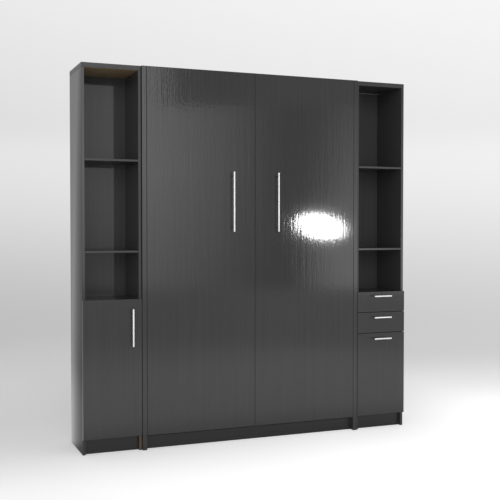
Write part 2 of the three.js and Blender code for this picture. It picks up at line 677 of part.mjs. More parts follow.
/** The drawer's half of a runner pair, nesting inside the cabinet's channel. */
function drawerRunner(boxX, outward, z, steel = RUNNER.steel) {
  const half = RUNNER.height / 2 - RUNNER.steel - RUNNER.slack;
  const from = CARCASS_Y + RUNNER_RUN.from_front;
  const ys = [from, from + RUNNER_RUN.length - RUNNER_RUN.drawer_shorter];
  const xs = (a, b) => [boxX + outward * a, boxX + outward * b].sort((p, q) => p - q);
  return [
    block(xs(-BITE, steel), ys, [z - half, z + half]),
    block(xs(0, RUNNER.reach), ys, [z - half, z - half + steel]),
    block(xs(0, RUNNER.reach), ys, [z + half - steel, z + half]),
  ];
}

/** Front heights and box places of the three drawers, from the top down. */
function drawers() {
  const tops = [FRONTS_TOP, FRONTS_TOP - SHALLOW_FRONT, FRONTS_TOP - 2 * SHALLOW_FRONT - FRONT_JOINT];
  const bottoms = [...tops.slice(1), FRONTS_BOTTOM - FRONT_JOINT / 2];
  return ["drawer_upper", "drawer_middle", "drawer_deep"].map((name, k) => {
    const zs = [bottoms[k] + FRONT_JOINT / 2, tops[k] - (k ? FRONT_JOINT / 2 : 0)];
    const low = zs[0] + BOX_RISE;
    return { name, zs, box: [low, low + BOX_HEIGHTS[k]], handle: tops[k] - DRAWER_HANDLE_DROPS[k] };
  });
}

/** Carcass of a tower; side is -1 on the left, 1 on the right. */
function towerCarcass(name, side, outerSide, innerSide) {
  const group = new THREE.Group();
  const span = (a, b) => [side * a, side * b].sort((p, q) => p - q);
  const inside = span(TOWER_INNER_X + FIT, TOWER_OUTER_X - SIDE - FIT);
  const depth = [CARCASS_Y, BACK_Y];
  const shelfDepth = [CARCASS_Y, SHELF_BACK_Y - FIT];
  const shelf = (top, thickness) => board(inside, shelfDepth, [top - thickness, top]);
  const deckTop = PLINTH + SIDE;
  const plinthY = FRONT_Y + PLINTH_SETBACK;
  place(group, name + "_side_outer", outerSide(span(TOWER_OUTER_X - SIDE, TOWER_OUTER_X)), LAMINATE);
  place(group, name + "_side_inner", innerSide(span(MAIN_HALF + FIT, TOWER_INNER_X)), CARCASS);
  const topX = span(MAIN_HALF + FIT, TOWER_OUTER_X);
  place(group, name + "_top", board(topX, depth, [UNDER_TOP, HEIGHT]), LAMINATE);
  place(group, name + "_deck", board(inside, shelfDepth, [PLINTH + FIT, deckTop]), CARCASS);
  const backZ = [deckTop + FIT, UNDER_TOP - FIT];
  place(group, name + "_back", board(inside, [SHELF_BACK_Y, SHELF_BACK_Y + BACK], backZ, 0.3), CARCASS);
  place(group, name + "_fixed_shelf", shelf(FIXED_SHELF_TOP, SIDE), CARCASS);
  place(group, name + "_shelf_upper", shelf(UPPER_SHELF_TOP, SHELF), CARCASS);
  place(group, name + "_shelf_lower", shelf(LOWER_SHELF_TOP, SHELF), CARCASS);
  place(group, name + "_plinth", board(inside, [plinthY, plinthY + PLINTH_BOARD], [0, PLINTH]), CARCASS);
  return group;
}

/** Centres of the cups of the door's two hinges. */
function hingeHeights() {
  return [FRONTS_TOP - HINGE.from_end, FRONTS_BOTTOM + HINGE.from_end];
}

/** The arm of one cup hinge, fixed to the inner face of the tower's outer side. */
function hingeArm(z) {
  const wallX = -TOWER_OUTER_X + SIDE;
  const cupX = -TOWER_OUTER_X + HINGE.cup_from_edge;
  const noseY = FRONT_Y + FRONT + HINGE.nose;
  const tailY = noseY + HINGE_ARM.length;
  const { depth, knuckle, neck, tail } = HINGE_ARM;
  const plateY = [noseY + HINGE_PLATE.from_nose, tailY];
  const plateZ = [z - HINGE_PLATE.height / 2, z + HINGE_PLATE.height / 2];
  const plate = board([wallX - BITE, wallX + HINGE_PLATE.steel], plateY, plateZ, 0.6);
  const body = new THREE.Shape()
    .moveTo(wallX + BITE, tailY - tail)
    .lineTo(wallX + BITE, noseY + neck)
    .lineTo(cupX - knuckle, noseY)
    .lineTo(cupX + knuckle, noseY)
    .lineTo(cupX + knuckle, noseY + knuckle)
    .lineTo(wallX + depth, noseY + knuckle + neck)
    .lineTo(wallX + depth, tailY - tail);
  const arm = new THREE.ExtrudeGeometry(body, { depth: HINGE_ARM.width, bevelEnabled: false });
  return [plate, arm.translate(0, 0, z - HINGE_ARM.width / 2)];
}

/** The cup of one hinge: a dish let into the door's back, its screw flange, and the link to the arm. */
function hingeCup(z) {
  const x = -TOWER_OUTER_X + HINGE.cup_from_edge;
  const backY = FRONT_Y + FRONT;
  const floorY = backY - HINGE.cup_depth;
  const radius = HINGE.cup / 2;
  const hollow = (from, to) => rod("y", [from, to], radius - HINGE.cup_wall, [x, 0, z], 0, 28);
  const dish = rod("y", [floorY, backY + BITE], radius, [x, 0, z], 0.6, 28);
  const { from, to, height, steel } = HINGE_FLANGE;
  const flangeY = [backY + FIT, backY + FIT + steel];
  const flange = board([x + from, x + to], flangeY, [z - height / 2, z + height / 2], 0.4);
  const [halfX, halfZ] = [HINGE_LINK.width / 2, HINGE_LINK.height / 2];
  const linkY = [floorY + BITE, backY + HINGE.nose - FIT];
  const link = block([x - halfX, x + halfX], linkY, [z - halfZ, z + halfZ]);
  return join(
    cut(dish, hollow(floorY + HINGE.cup_wall, backY + 2 * BITE)),
    cut(flange, hollow(backY - BITE, backY + HINGE.nose)),
    link,
  );
}

/** The door, with two round recesses for the hinge cups in its back. */
function doorPanel() {
  const x = -TOWER_OUTER_X + HINGE.cup_from_edge;
  const backY = FRONT_Y + FRONT;
  const span = [-TOWER_OUTER_X, -MAIN_HALF - FRONT_JOINT];
  const panel = board(span, [FRONT_Y, backY], [FRONTS_BOTTOM, FRONTS_TOP]);
  const recess = (z) =>
    rod("y", [backY - HINGE.cup_depth - FIT, backY + 2], HINGE.cup / 2 + FIT, [x, 0, z], 0, 28);
  return cut(panel, ...hingeHeights().map(recess));
}

function leftTower() {
  const depth = [CARCASS_Y, BACK_Y];
  const height = [0, UNDER_TOP - FIT];
  const outer = (xs) => join(board(xs, depth, height), ...hingeHeights().flatMap(hingeArm));
  const inner = (xs) => board(xs, depth, height);
  const group = towerCarcass("left", -1, outer, inner);
  const inside = [-TOWER_OUTER_X + SIDE + FIT, -TOWER_INNER_X - FIT];
  const shelfZ = [CUPBOARD_SHELF_TOP - SHELF, CUPBOARD_SHELF_TOP];
  const shelfY = [CARCASS_Y + 20, SHELF_BACK_Y - FIT];
  place(group, "cupboard_shelf", board(inside, shelfY, shelfZ), CARCASS);
  place(group, "door", doorPanel(), LAMINATE);
  const handleX = -MAIN_HALF - FRONT_JOINT - DOOR_HANDLE_EDGE;
  const handleZ = FRONTS_TOP - DOOR_HANDLE.below_top;
  place(group, "door_handle", barHandle("z", DOOR_HANDLE, handleX, handleZ), CHROME);
  hingeHeights().forEach((z, k) => place(group, "hinge_cup_" + ["upper", "lower"][k], hingeCup(z), ZINC));
  return group;
}

/** A drawer's box, open at the top, with its halves of the runners along both sides. */
function drawerBox([low, high]) {
  const [left, right] = [TOWER_INNER_X + RUNNER.gap, TOWER_OUTER_X - SIDE - RUNNER.gap];
  const [front, back] = [FRONT_Y + FRONT + FIT, FRONT_Y + FRONT + FIT + BOX_LENGTH];
  const shell = block([left, right], [front, back], [low, high]);
  const hollow = (zs) => block([left + BOX_WALL, right - BOX_WALL], [front + BOX_WALL, back - BOX_WALL], zs);
  const inside = hollow([low + BOX_REBATE + BOX_BOTTOM, high + BITE]);
  const under = hollow([low - BITE, low + BOX_REBATE]);
  const z = low + RUNNER.above_box;
  return join(cut(shell, inside, under), ...drawerRunner(left, -1, z), ...drawerRunner(right, 1, z));
}

function rightTower() {
  const depth = [CARCASS_Y, BACK_Y];
  const set = drawers();
  const heights = set.map(({ box }) => box[0] + RUNNER.above_box);
  const runners = (wallX, inward) => heights.flatMap((z) => cabinetRunner(wallX, inward, z));
  const height = [0, UNDER_TOP - FIT];
  const outer = (xs) => join(board(xs, depth, height), ...runners(TOWER_OUTER_X - SIDE, -1));
  const inner = (xs) => join(board(xs, depth, height), ...runners(TOWER_INNER_X, 1));
  const group = towerCarcass("right", 1, outer, inner);
  const middle = (TOWER_INNER_X + TOWER_OUTER_X - SIDE) / 2;
  for (const { name, zs, box, handle } of set) {
    const front = board([MAIN_HALF + FRONT_JOINT, TOWER_OUTER_X], [FRONT_Y, FRONT_Y + FRONT], zs);
    place(group, name + "_front", front, LAMINATE);
    place(group, name + "_box", drawerBox(box), BOX_BOARD);
    place(group, name + "_handle", barHandle("x", DRAWER_HANDLE, middle, handle), CHROME);
  }
  return group;
}

const wallBed = new THREE.Group();
wallBed.add(mainCabinet(), mechanism(), bed(), leftTower(), rightTower());

export default wallBed;
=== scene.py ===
"""Looks of a fold-down wall bed between a cupboard tower and a drawer tower.

The boards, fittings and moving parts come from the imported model. This script dresses them:
high-gloss charcoal woodgrain laminate, bright bar handles, steel, beech slats, a quilted
mattress and the small fittings that the boards carry. Lengths are in metres.
"""

import json
import logging
import math
from collections.abc import Callable, Iterator
from contextlib import contextmanager
from dataclasses import dataclass
from enum import Enum

import bmesh
import bpy
import numpy as np
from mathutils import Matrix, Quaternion, Vector

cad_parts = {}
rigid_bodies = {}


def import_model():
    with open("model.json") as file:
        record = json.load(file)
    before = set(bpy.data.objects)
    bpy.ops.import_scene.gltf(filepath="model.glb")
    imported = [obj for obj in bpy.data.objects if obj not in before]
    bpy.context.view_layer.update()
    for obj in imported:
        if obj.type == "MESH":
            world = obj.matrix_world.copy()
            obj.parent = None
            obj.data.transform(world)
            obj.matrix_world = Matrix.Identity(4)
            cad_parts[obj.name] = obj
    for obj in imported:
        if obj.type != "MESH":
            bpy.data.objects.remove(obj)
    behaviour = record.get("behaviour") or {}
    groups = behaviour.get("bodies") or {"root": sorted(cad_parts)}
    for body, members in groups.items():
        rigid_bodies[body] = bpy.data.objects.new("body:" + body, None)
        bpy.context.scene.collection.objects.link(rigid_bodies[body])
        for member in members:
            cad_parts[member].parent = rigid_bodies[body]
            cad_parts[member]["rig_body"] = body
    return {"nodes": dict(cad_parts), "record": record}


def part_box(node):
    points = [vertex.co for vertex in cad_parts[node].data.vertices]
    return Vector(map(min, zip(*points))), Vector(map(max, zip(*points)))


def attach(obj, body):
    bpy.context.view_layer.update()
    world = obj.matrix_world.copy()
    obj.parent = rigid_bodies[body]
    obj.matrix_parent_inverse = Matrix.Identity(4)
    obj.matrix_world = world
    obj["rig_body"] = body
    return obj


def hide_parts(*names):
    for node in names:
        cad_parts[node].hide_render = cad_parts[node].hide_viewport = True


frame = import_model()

log = logging.getLogger("wall_bed")
NODES: dict[str, bpy.types.Object] = frame["nodes"]

MM = 0.001
# Points of a node closer than this are one point.
SAME_POINT = 0.01 * MM
# The rounding along a board's edges, and the angle in degrees past which an edge gets it.
BOARD_EDGE = 0.25 * MM
BOARD_ANGLE = 40.0
# Faces of a node's copy from this area on, in square metres, are shaded flat.
LARGE_FACE = 0.001

Colour = tuple[float, float, float]
Point = tuple[float, float, float]
Pair = tuple[float, float]


class Axis(Enum):
    """A direction of the part's own frame."""

    X = 0
    Y = 1
    Z = 2

    def basis(self) -> np.ndarray:
        """The unit vector along this axis, and those along the next two."""
        return np.roll(np.eye(3), -self.value, axis=0)


class Side(Enum):
    """The two hands of what comes in pairs."""

    LEFT = -1
    RIGHT = 1

    @property
    def word(self) -> str:
        """The hand as it stands in names."""
        return self.name.lower()


def linked(name: str, data: bpy.types.ID) -> bpy.types.Object:
    """Makes an object and puts it into the scene.

    Args:
        name: The object's name.
        data: Its mesh, lamp or camera.

    Returns:
        The object.
    """
    made = bpy.data.objects.new(name, data)
    bpy.context.scene.collection.objects.link(made)
    return made


# Shader graphs


class Graph:
    """A node tree with short calls to add nodes and join them."""

    def __init__(self, tree: bpy.types.NodeTree) -> None:
        """Keeps the tree.

        Args:
            tree: The tree that the nodes go into.
        """
        self.tree = tree

    def add(self, kind: str, sockets: dict | None = None, **settings: object) -> bpy.types.Node:
        """Adds one node.

        Args:
            kind: Blender's name of the node's class, without its ShaderNode.
            sockets: Values or output sockets, by input name or number.
            **settings: Properties of the node itself.

        Returns:
            The new node.
        """
        node = self.tree.nodes.new("ShaderNode" + kind)
        for key, value in settings.items():
            setattr(node, key, value)
        for key, value in (sockets or {}).items():
            self.feed(node.inputs[key], value)
        return node

    def feed(self, socket: bpy.types.NodeSocket, value: object) -> None:
        """Links an output to a socket, or sets the socket's value.

        Args:
            socket: The input.
            value: An output socket, or a plain value.
        """
        if isinstance(value, bpy.types.NodeSocket):
            self.tree.links.new(value, socket)
        elif isinstance(value, (tuple, list)) and len(value) == 3 and socket.type == "RGBA":
            socket.default_value = (*value, 1.0)
        else:
            socket.default_value = value

    def math(self, operation: str, *values: object, clamp: bool = False) -> bpy.types.NodeSocket:
        """Adds a Math node and returns its value.

        Args:
            operation: The node's operation.
            *values: Its inputs in order.
            clamp: Whether the result stays between 0 and 1.

        Returns:
            The output socket.
        """
        node = self.add("Math", dict(enumerate(values)), operation=operation, use_clamp=clamp)
        return node.outputs[0]

    def plus(self, a: object, b: object, clamp: bool = False) -> bpy.types.NodeSocket:
        """The sum of two values, which clamp keeps between 0 and 1."""
        return self.math("ADD", a, b, clamp=clamp)

    def minus(self, a: object, b: object) -> bpy.types.NodeSocket:
        """The first value less the second."""
        return self.math("SUBTRACT", a, b)

    def times(self, a: object, b: object) -> bpy.types.NodeSocket:
        """The product of two values."""
        return self.math("MULTIPLY", a, b)

    def vector(self, operation: str, *values: object) -> bpy.types.NodeSocket:
        """Adds a Vector Math node and returns its vector.

        Args:
            operation: The node's operation.
            *values: Its inputs in order.

        Returns:
            The output socket.
        """
        return self.add("VectorMath", dict(enumerate(values)), operation=operation).outputs[0]

    def dot(self, a: object, b: object) -> bpy.types.NodeSocket:
        """The dot product of two vectors.

        Args:
            a: The first one.
            b: The second one.

        Returns:
            The value's socket.
        """
        return self.add("VectorMath", {0: a, 1: b}, operation="DOT_PRODUCT").outputs[1]

    def mix(self, factor: object, a: object, b: object) -> bpy.types.NodeSocket:
        """Mixes two colours.

        Args:
            factor: How much of the second one shows.
            a: The first colour.
            b: The second colour.

        Returns:
            The mixed colour's socket.
        """
        node = self.add("Mix", data_type="RGBA")
        self.feed(node.inputs[0], factor)
        self.feed(node.inputs[6], a)
        self.feed(node.inputs[7], b)
        return node.outputs[2]

    def noise(
        self, place: object, scale: float, detail: float = 2.0, rough: float = 0.5,
    ) -> bpy.types.NodeSocket:
        """A noise's value at a place.

        Args:
            place: The coordinates.
            scale: Its scale.
            detail: Its octaves.
            rough: How strong the finer octaves are.

        Returns:
            The value's socket.
        """
        sockets = {"Vector": place, "Scale": scale, "Detail": detail, "Roughness": rough}
        return self.add("TexNoise", sockets).outputs[0]

    def ramp(
        self, value: object, low: float, high: float, out_low: float = 0.0, out_high: float = 1.0,
        kind: str = "SMOOTHSTEP",
    ) -> bpy.types.NodeSocket:
        """Maps a value's range onto another, and holds the result beyond its ends.

        Args:
            value: The value.
            low: Where the source range starts.
            high: Where it ends.
            out_low: The result at the start.
            out_high: The result at the end.
            kind: Blender's word for the way between them.

        Returns:
            The result's socket.
        """
        sockets = {0: value, 1: low, 2: high, 3: out_low, 4: out_high}
        return self.add("MapRange", sockets, interpolation_type=kind).outputs[0]

    def slope(self, value: object, *ends: float) -> bpy.types.NodeSocket:
        """Maps a range onto another as ramp does, in a straight line."""
        return self.ramp(value, *ends, kind="LINEAR")


def shader_group(
    name: str, inputs: dict[str, object], outputs: dict[str, str],
) -> tuple[Graph, dict, dict]:
    """Starts a node group.

    Args:
        name: The group's name.
        inputs: Default values by input name; a tuple of three is a colour, and None a vector.
        outputs: Socket kinds by output name, such as Color, Float or Vector.

    Returns:
        The group's graph, its input sockets by name and its output sockets by name.
    """
    tree = bpy.data.node_groups.new(name, "ShaderNodeTree")
    for key, default in inputs.items():
        kind = "Vector" if default is None else "Color" if isinstance(default, tuple) else "Float"
        socket = tree.interface.new_socket(key, in_out="INPUT", socket_type="NodeSocket" + kind)
        if default is not None:
            socket.default_value = (*default, 1.0) if isinstance(default, tuple) else default
    for key, kind in outputs.items():
        tree.interface.new_socket(key, in_out="OUTPUT", socket_type="NodeSocket" + kind)
    source = tree.nodes.new("NodeGroupInput")
    target = tree.nodes.new("NodeGroupOutput")
    given = {socket.name: socket for socket in source.outputs}
    result = {socket.name: socket for socket in target.inputs}
    return Graph(tree), given, result


def woodgrain_group() -> bpy.types.NodeTree:
    """Printed and embossed woodgrain: long streaks, broad bands and fine pores.

    Noise is read on coordinates that are squeezed along the grain, so that its cells become
    streaks; a second, slower noise shifts them sideways, which makes the streaks wander.

    Returns:
        The group, with outputs Color, Height and Rough.
    """
    inputs = {
        "Place": None, "Grain": None, "Dark": (0.02, 0.02, 0.02), "Light": (0.05, 0.05, 0.05),
        "Streaks": 300.0, "Along": 3.0, "Wander": 0.01, "Roughness": 0.2, "Spread": 0.06,
    }
    outputs = {"Color": "Color", "Height": "Float", "Rough": "Float"}
    g, given, result = shader_group("woodgrain", inputs, outputs)
    sway = g.noise(given["Place"], scale=1.3)
    shift = g.times(g.minus(sway, 0.5), given["Wander"])
    length = g.dot(given["Place"], given["Grain"])
    across = g.minus(g.dot(given["Place"], (1.0, 1.0, 1.0)), length)
    swayed = g.plus(across, shift)

    def streaks(frequency: float, along: float, detail: float) -> bpy.types.NodeSocket:
        """One layer of streaks.

        Args:
            frequency: Its share of the group's number of streaks.
            along: Its share of the group's changes along the grain.
            detail: The noise's octaves.

        Returns:
            The noise's socket.
        """
        u = g.times(swayed, g.times(given["Streaks"], frequency))
        v = g.times(length, g.times(given["Along"], along))
        place = g.add("CombineXYZ", {0: u, 1: 0.0, 2: v}).outputs[0]
        return g.noise(place, 1.0, detail, rough=0.6)

    fine = streaks(1.0, 0.35, 3.0)
    bands = streaks(0.11, 0.35, 2.0)
    slopes = streaks(0.3, 1.6, 2.0)
    ripples = g.times(streaks(0.24, 13.0, 1.0), 0.8)
    pores = g.ramp(streaks(2.6, 5.0, 1.0), 0.62, 0.72)
    tone = g.plus(g.times(fine, 0.6), g.times(bands, 0.4))
    tone = g.ramp(tone, 0.32, 0.68)
    g.feed(result["Color"], g.mix(tone, given["Dark"], given["Light"]))
    raised = g.plus(g.plus(slopes, ripples), g.plus(bands, g.times(fine, 0.07)))
    g.feed(result["Height"], g.minus(raised, g.times(pores, 0.02)))
    uneven = g.times(g.minus(fine, 0.5), given["Spread"])
    g.feed(result["Rough"], g.plus(given["Roughness"], uneven, clamp=True))
    return g.tree


def speckle_group() -> bpy.types.NodeTree:
    """A powder coat's peel or a plated sheet's mottling, from two noises, and rubbed edges.

    Returns:
        The group, with outputs Color, Height and Rough.
    """
    inputs = {
        "Place": None, "Base": (0.1, 0.1, 0.1), "Other": (0.12, 0.12, 0.12),
        "Scale": 400.0, "Roughness": 0.4, "Spread": 0.15,
        "Edge": 0.0, "Worn": (0.3, 0.3, 0.3), "Wear": 0.5,
    }
    outputs = {"Color": "Color", "Height": "Float", "Rough": "Float"}
    g, given, result = shader_group("speckle", inputs, outputs)
    all_ways = g.add("CombineXYZ", {axis.value: given["Scale"] for axis in Axis}).outputs[0]
    scaled = g.vector("MULTIPLY", given["Place"], all_ways)
    fine = g.noise(scaled, scale=1.0)
    slow = g.noise(scaled, scale=0.07)
    even = g.mix(g.ramp(slow, 0.3, 0.7), given["Base"], given["Other"])
    chipped = g.ramp(g.plus(given["Edge"], g.times(slow, 0.6)), 0.62, 0.95)
    wear = g.times(chipped, given["Wear"])
    g.feed(result["Color"], g.mix(wear, even, given["Worn"]))
    g.feed(result["Height"], fine)
    uneven = g.times(g.minus(slow, 0.5), given["Spread"])
    rubbed = g.times(wear, -0.12)
    g.feed(result["Rough"], g.plus(g.plus(given["Roughness"], uneven), rubbed, clamp=True))
    return g.tree


def weave_group() -> bpy.types.NodeTree:
    """A plain weave: warp and weft are sine waves at right angles, and the higher one shows.

    Returns:
        The group, with outputs Color and Height.
    """
    inputs = {
        "Place": None, "Warp": (0.5, 0.5, 0.5), "Weft": (0.4, 0.4, 0.4),
        "Pitch": 0.0012, "Mottle": 0.2,
    }
    g, given, result = shader_group("weave", inputs, {"Color": "Color", "Height": "Float"})
    x, y, z = g.add("SeparateXYZ", {0: given["Place"]}).outputs
    turns = g.math("DIVIDE", 2 * math.pi, given["Pitch"])
    u = g.math("SINE", g.times(g.plus(x, y), turns))
    v = g.math("SINE", g.times(z, turns))
    over = g.ramp(g.times(u, v), -0.4, 0.4)
    mottle = g.times(g.noise(given["Place"], scale=40.0, detail=3.0), given["Mottle"])
    g.feed(result["Color"], g.mix(g.plus(over, mottle, clamp=True), given["Warp"], given["Weft"]))
    height = g.plus(g.math("ABSOLUTE", u), g.math("ABSOLUTE", v))
    g.feed(result["Height"], g.times(height, 0.5))
    return g.tree


GROUPS = {"woodgrain": woodgrain_group(), "speckle": speckle_group(), "weave": weave_group()}


class Shading:
    """A material with one Principled shader, and calls to wire a group into it."""

    def __init__(self, name: str) -> None:
        """Makes the material.

        Args:
            name: The material's name.
        """
        self.material = bpy.data.materials.new(name)
        self.material.use_nodes = True
        self.graph = Graph(self.material.node_tree)
        self.shader = self.material.node_tree.nodes["Principled BSDF"]
        self.place = self.graph.add("TexCoord").outputs["Object"]

    def group(self, name: str, **sockets: object) -> bpy.types.Node:
        """Places a shader group that reads the piece's own coordinates.

        Args:
            name: The group's key.
            **sockets: Its inputs; an underscore stands for a space.

        Returns:
            The group's node.
        """
        node = self.graph.add("Group")
        node.node_tree = GROUPS[name]
        self.graph.feed(node.inputs["Place"], self.place)
        for key, value in sockets.items():
            self.graph.feed(node.inputs[key.replace("_", " ")], value)
        return node

    def edge(self) -> bpy.types.NodeSocket:
        """How sharply the surface turns at a point, from the piece's own attribute.

        Returns:
            The value's socket.
        """
        return self.graph.add("Attribute", attribute_name="edge").outputs["Fac"]

    def set(self, **sockets: object) -> None:
        """Sets or links the shader's sockets.

        Args:
            **sockets: Values by socket name; an underscore stands for a space.
        """
        for key, value in sockets.items():
            self.graph.feed(self.shader.inputs[key.replace("_", " ")], value)

    def bump(self, height: bpy.types.NodeSocket, distance: float) -> None:
        """Raises the surface by a height.

        Args:
            height: The height's socket.
            distance: What a height of 1 stands for.
        """
        node = self.graph.add("Bump", {"Height": height, "Distance": distance, "Strength": 1.0})
        self.set(Normal=node.outputs[0], Coat_Normal=node.outputs[0])


@dataclass(frozen=True)
class Laminate:
    """Woodgrain laminate: how dark it is, and how it shines."""

    name: str
    dark: Colour
    light: Colour
    roughness: float
    coat: float
    emboss: float = 0.00006
    streaks: float = 380.0
    grain: Axis = Axis.Z
    shine: float = 0.5

    def material(self) -> bpy.types.Material:
        """The laminate's material.

        Returns:
            The material.
        """
        made = Shading(self.name)
        grain = made.group(
            "woodgrain", Dark=self.dark, Light=self.light, Roughness=self.roughness,
            Streaks=self.streaks, Grain=tuple(float(axis is self.grain) for axis in Axis),
        )
        made.set(Base_Color=grain.outputs["Color"], Roughness=grain.outputs["Rough"])
        made.set(IOR=1.5, Specular_IOR_Level=self.shine, Coat_Weight=self.coat, Coat_Roughness=0.03)
        made.bump(grain.outputs["Height"], self.emboss)
        return made.material


@dataclass(frozen=True)
class Metal:
    """Bare or plated metal."""

    name: str
    base: Colour
    other: Colour
    roughness: float
    spread: float = 0.08
    grain: float = 900.0
    relief: float = 0.000004
    worn: float = 0.15
    metallic: float = 1.0

    def material(self) -> bpy.types.Material:
        """The metal's material.

        Returns:
            The material.
        """
        made = Shading(self.name)
        mottle = made.group(
            "speckle", Base=self.base, Other=self.other, Scale=self.grain, Roughness=self.roughness,
            Spread=self.spread, Edge=made.edge(), Worn=self.other, Wear=self.worn,
        )
        made.set(Base_Color=mottle.outputs["Color"], Roughness=mottle.outputs["Rough"])
        made.set(Metallic=self.metallic)
        made.bump(mottle.outputs["Height"], self.relief)
        return made.material


@dataclass(frozen=True)
class Coating:
    """Powder coat, plastic or rubber: a fine peel over one colour."""

    name: str
    base: Colour
    other: Colour
    roughness: float
    peel: float = 700.0
    relief: float = 0.00002
    worn: Colour = (0.16, 0.16, 0.16)

    def material(self) -> bpy.types.Material:
        """The coating's material.

        Returns:
            The material.
        """
        made = Shading(self.name)
        mottle = made.group(
            "speckle", Base=self.base, Other=self.other, Scale=self.peel, Roughness=self.roughness,
            Edge=made.edge(), Worn=self.worn, Wear=0.8,
        )
        made.set(Base_Color=mottle.outputs["Color"], Roughness=mottle.outputs["Rough"], IOR=1.5)
        made.bump(mottle.outputs["Height"], self.relief)
        return made.material


@dataclass(frozen=True)
class Cloth:
    """Woven cloth."""

    name: str
    warp: Colour
    weft: Colour
    pitch: float
    relief: float

    def material(self) -> bpy.types.Material:
        """The cloth's material.

        Returns:
            The material.
        """
        made = Shading(self.name)
        weave = made.group("weave", Warp=self.warp, Weft=self.weft, Pitch=self.pitch)
        made.set(Base_Color=weave.outputs["Color"], Roughness=0.9)
        made.set(Sheen_Weight=0.3, Sheen_Roughness=0.5)
        made.bump(weave.outputs["Height"], self.relief)
        return made.material


class Finishes:
    """Every finish of the set, made once."""

    def __init__(self) -> None:
        """Makes the materials."""
        self.front = Laminate(
            "front_gloss", (0.034, 0.034, 0.035), (0.042, 0.042, 0.043),
            roughness=0.07, coat=0.5, emboss=0.00013,
        ).material()
        # Painted light: the cell walls' laminate is paler than the same board on the fronts, backs
        # and shelves, to brighten the walls inside the cells.
        self.carcass = Laminate(
            "carcass_laminate", (0.045, 0.045, 0.046), (0.055, 0.055, 0.056),
            roughness=0.05, coat=0.0, emboss=0.000015, shine=0.34,
        ).material()
        self.carcass_across = Laminate(
            "carcass_laminate_across", (0.031, 0.031, 0.032), (0.043, 0.043, 0.044),
            roughness=0.3, coat=0.2, grain=Axis.X,
        ).material()
        self.back = Laminate(
            "back_gloss", (0.035, 0.035, 0.036), (0.045, 0.045, 0.046),
            roughness=0.05, coat=0.0, emboss=0.000015, shine=0.37,
        ).material()
        # Partly painted shade: the plinths are rougher and less coated than the fronts, and their
        # darker base colour paints the shade under the overhanging fronts.
        self.plinth = Laminate(
            "plinth_laminate", (0.02, 0.02, 0.021), (0.028, 0.028, 0.029),
            roughness=0.3, coat=0.1, grain=Axis.X,
        ).material()
        self.liner = Laminate(
            "brown_liner", (0.25, 0.175, 0.098), (0.35, 0.256, 0.147), roughness=0.5, coat=0.0,
        ).material()
        # Painted shade: a dark, dull face on the main sides' outer faces. It shows only as a thin
        # strip beside the towers and stands for the shadow in the gap there.
        self.raw_face = Laminate(
            "raw_face", (0.012, 0.012, 0.012), (0.018, 0.018, 0.018),
            roughness=0.9, coat=0.0, shine=0.1,
        ).material()
        self.raw_edge = Laminate(
            "raw_edge", (0.09, 0.058, 0.032), (0.13, 0.085, 0.048), roughness=0.6, coat=0.0,
        ).material()
        self.box = Laminate(
            "drawer_board", (0.52, 0.52, 0.51), (0.6, 0.6, 0.59),
            roughness=0.4, coat=0.0, emboss=0.00002,
        ).material()
        self.beech, self.beech_across = (
            Laminate(
                name, (0.5, 0.33, 0.18), (0.68, 0.49, 0.3),
                roughness=0.45, coat=0.15, emboss=0.00003, streaks=220.0, grain=grain,
            ).material()
            for name, grain in (("beech", Axis.Z), ("beech_across", Axis.X))
        )
        # Painted highlight: the handle bars are nearly white and mostly diffuse, which stands for
        # the bright reflections of chromed bars.
        self.bright = Metal(
            "bright_handle", (0.96, 0.96, 0.96), (0.99, 0.99, 0.99), roughness=0.3, metallic=0.12,
        ).material()
        # Painted shade: the posts are the bars' metal made dark, as they look in the shade of the
        # bar.
        self.post = Metal(
            "handle_post", (0.1, 0.1, 0.1), (0.14, 0.14, 0.14), roughness=0.3,
        ).material()
        self.chrome = Metal(
            "rod_chrome", (0.85, 0.85, 0.86), (0.9, 0.9, 0.91), roughness=0.1,
        ).material()
        self.zinc = Metal(
            "zinc_plate", (0.55, 0.57, 0.6), (0.66, 0.67, 0.68),
            roughness=0.36, spread=0.2, grain=260.0,
        ).material()
        self.black = Coating(
            "black_powder_coat", (0.02, 0.02, 0.022), (0.026, 0.026, 0.028), roughness=0.42,
        ).material()
        self.rubber = Coating(
            "black_rubber", (0.014, 0.014, 0.014), (0.02, 0.02, 0.02), roughness=0.75,
        ).material()
        self.thread = Coating(
            "thread", (0.6, 0.6, 0.58), (0.5, 0.5, 0.48), roughness=0.8,
        ).material()
        self.ticking = Cloth(
            "ticking", (0.78, 0.77, 0.74), (0.7, 0.69, 0.66), pitch=0.0016, relief=0.0001,
        ).material()
        self.border = Cloth(
            "mattress_border", (0.42, 0.43, 0.45), (0.34, 0.35, 0.37), pitch=0.0024, relief=0.0002,
        ).material()
        self.webbing = Cloth(
            "webbing", (0.05, 0.05, 0.055), (0.03, 0.03, 0.035), pitch=0.002, relief=0.0003,
        ).material()


# Studio


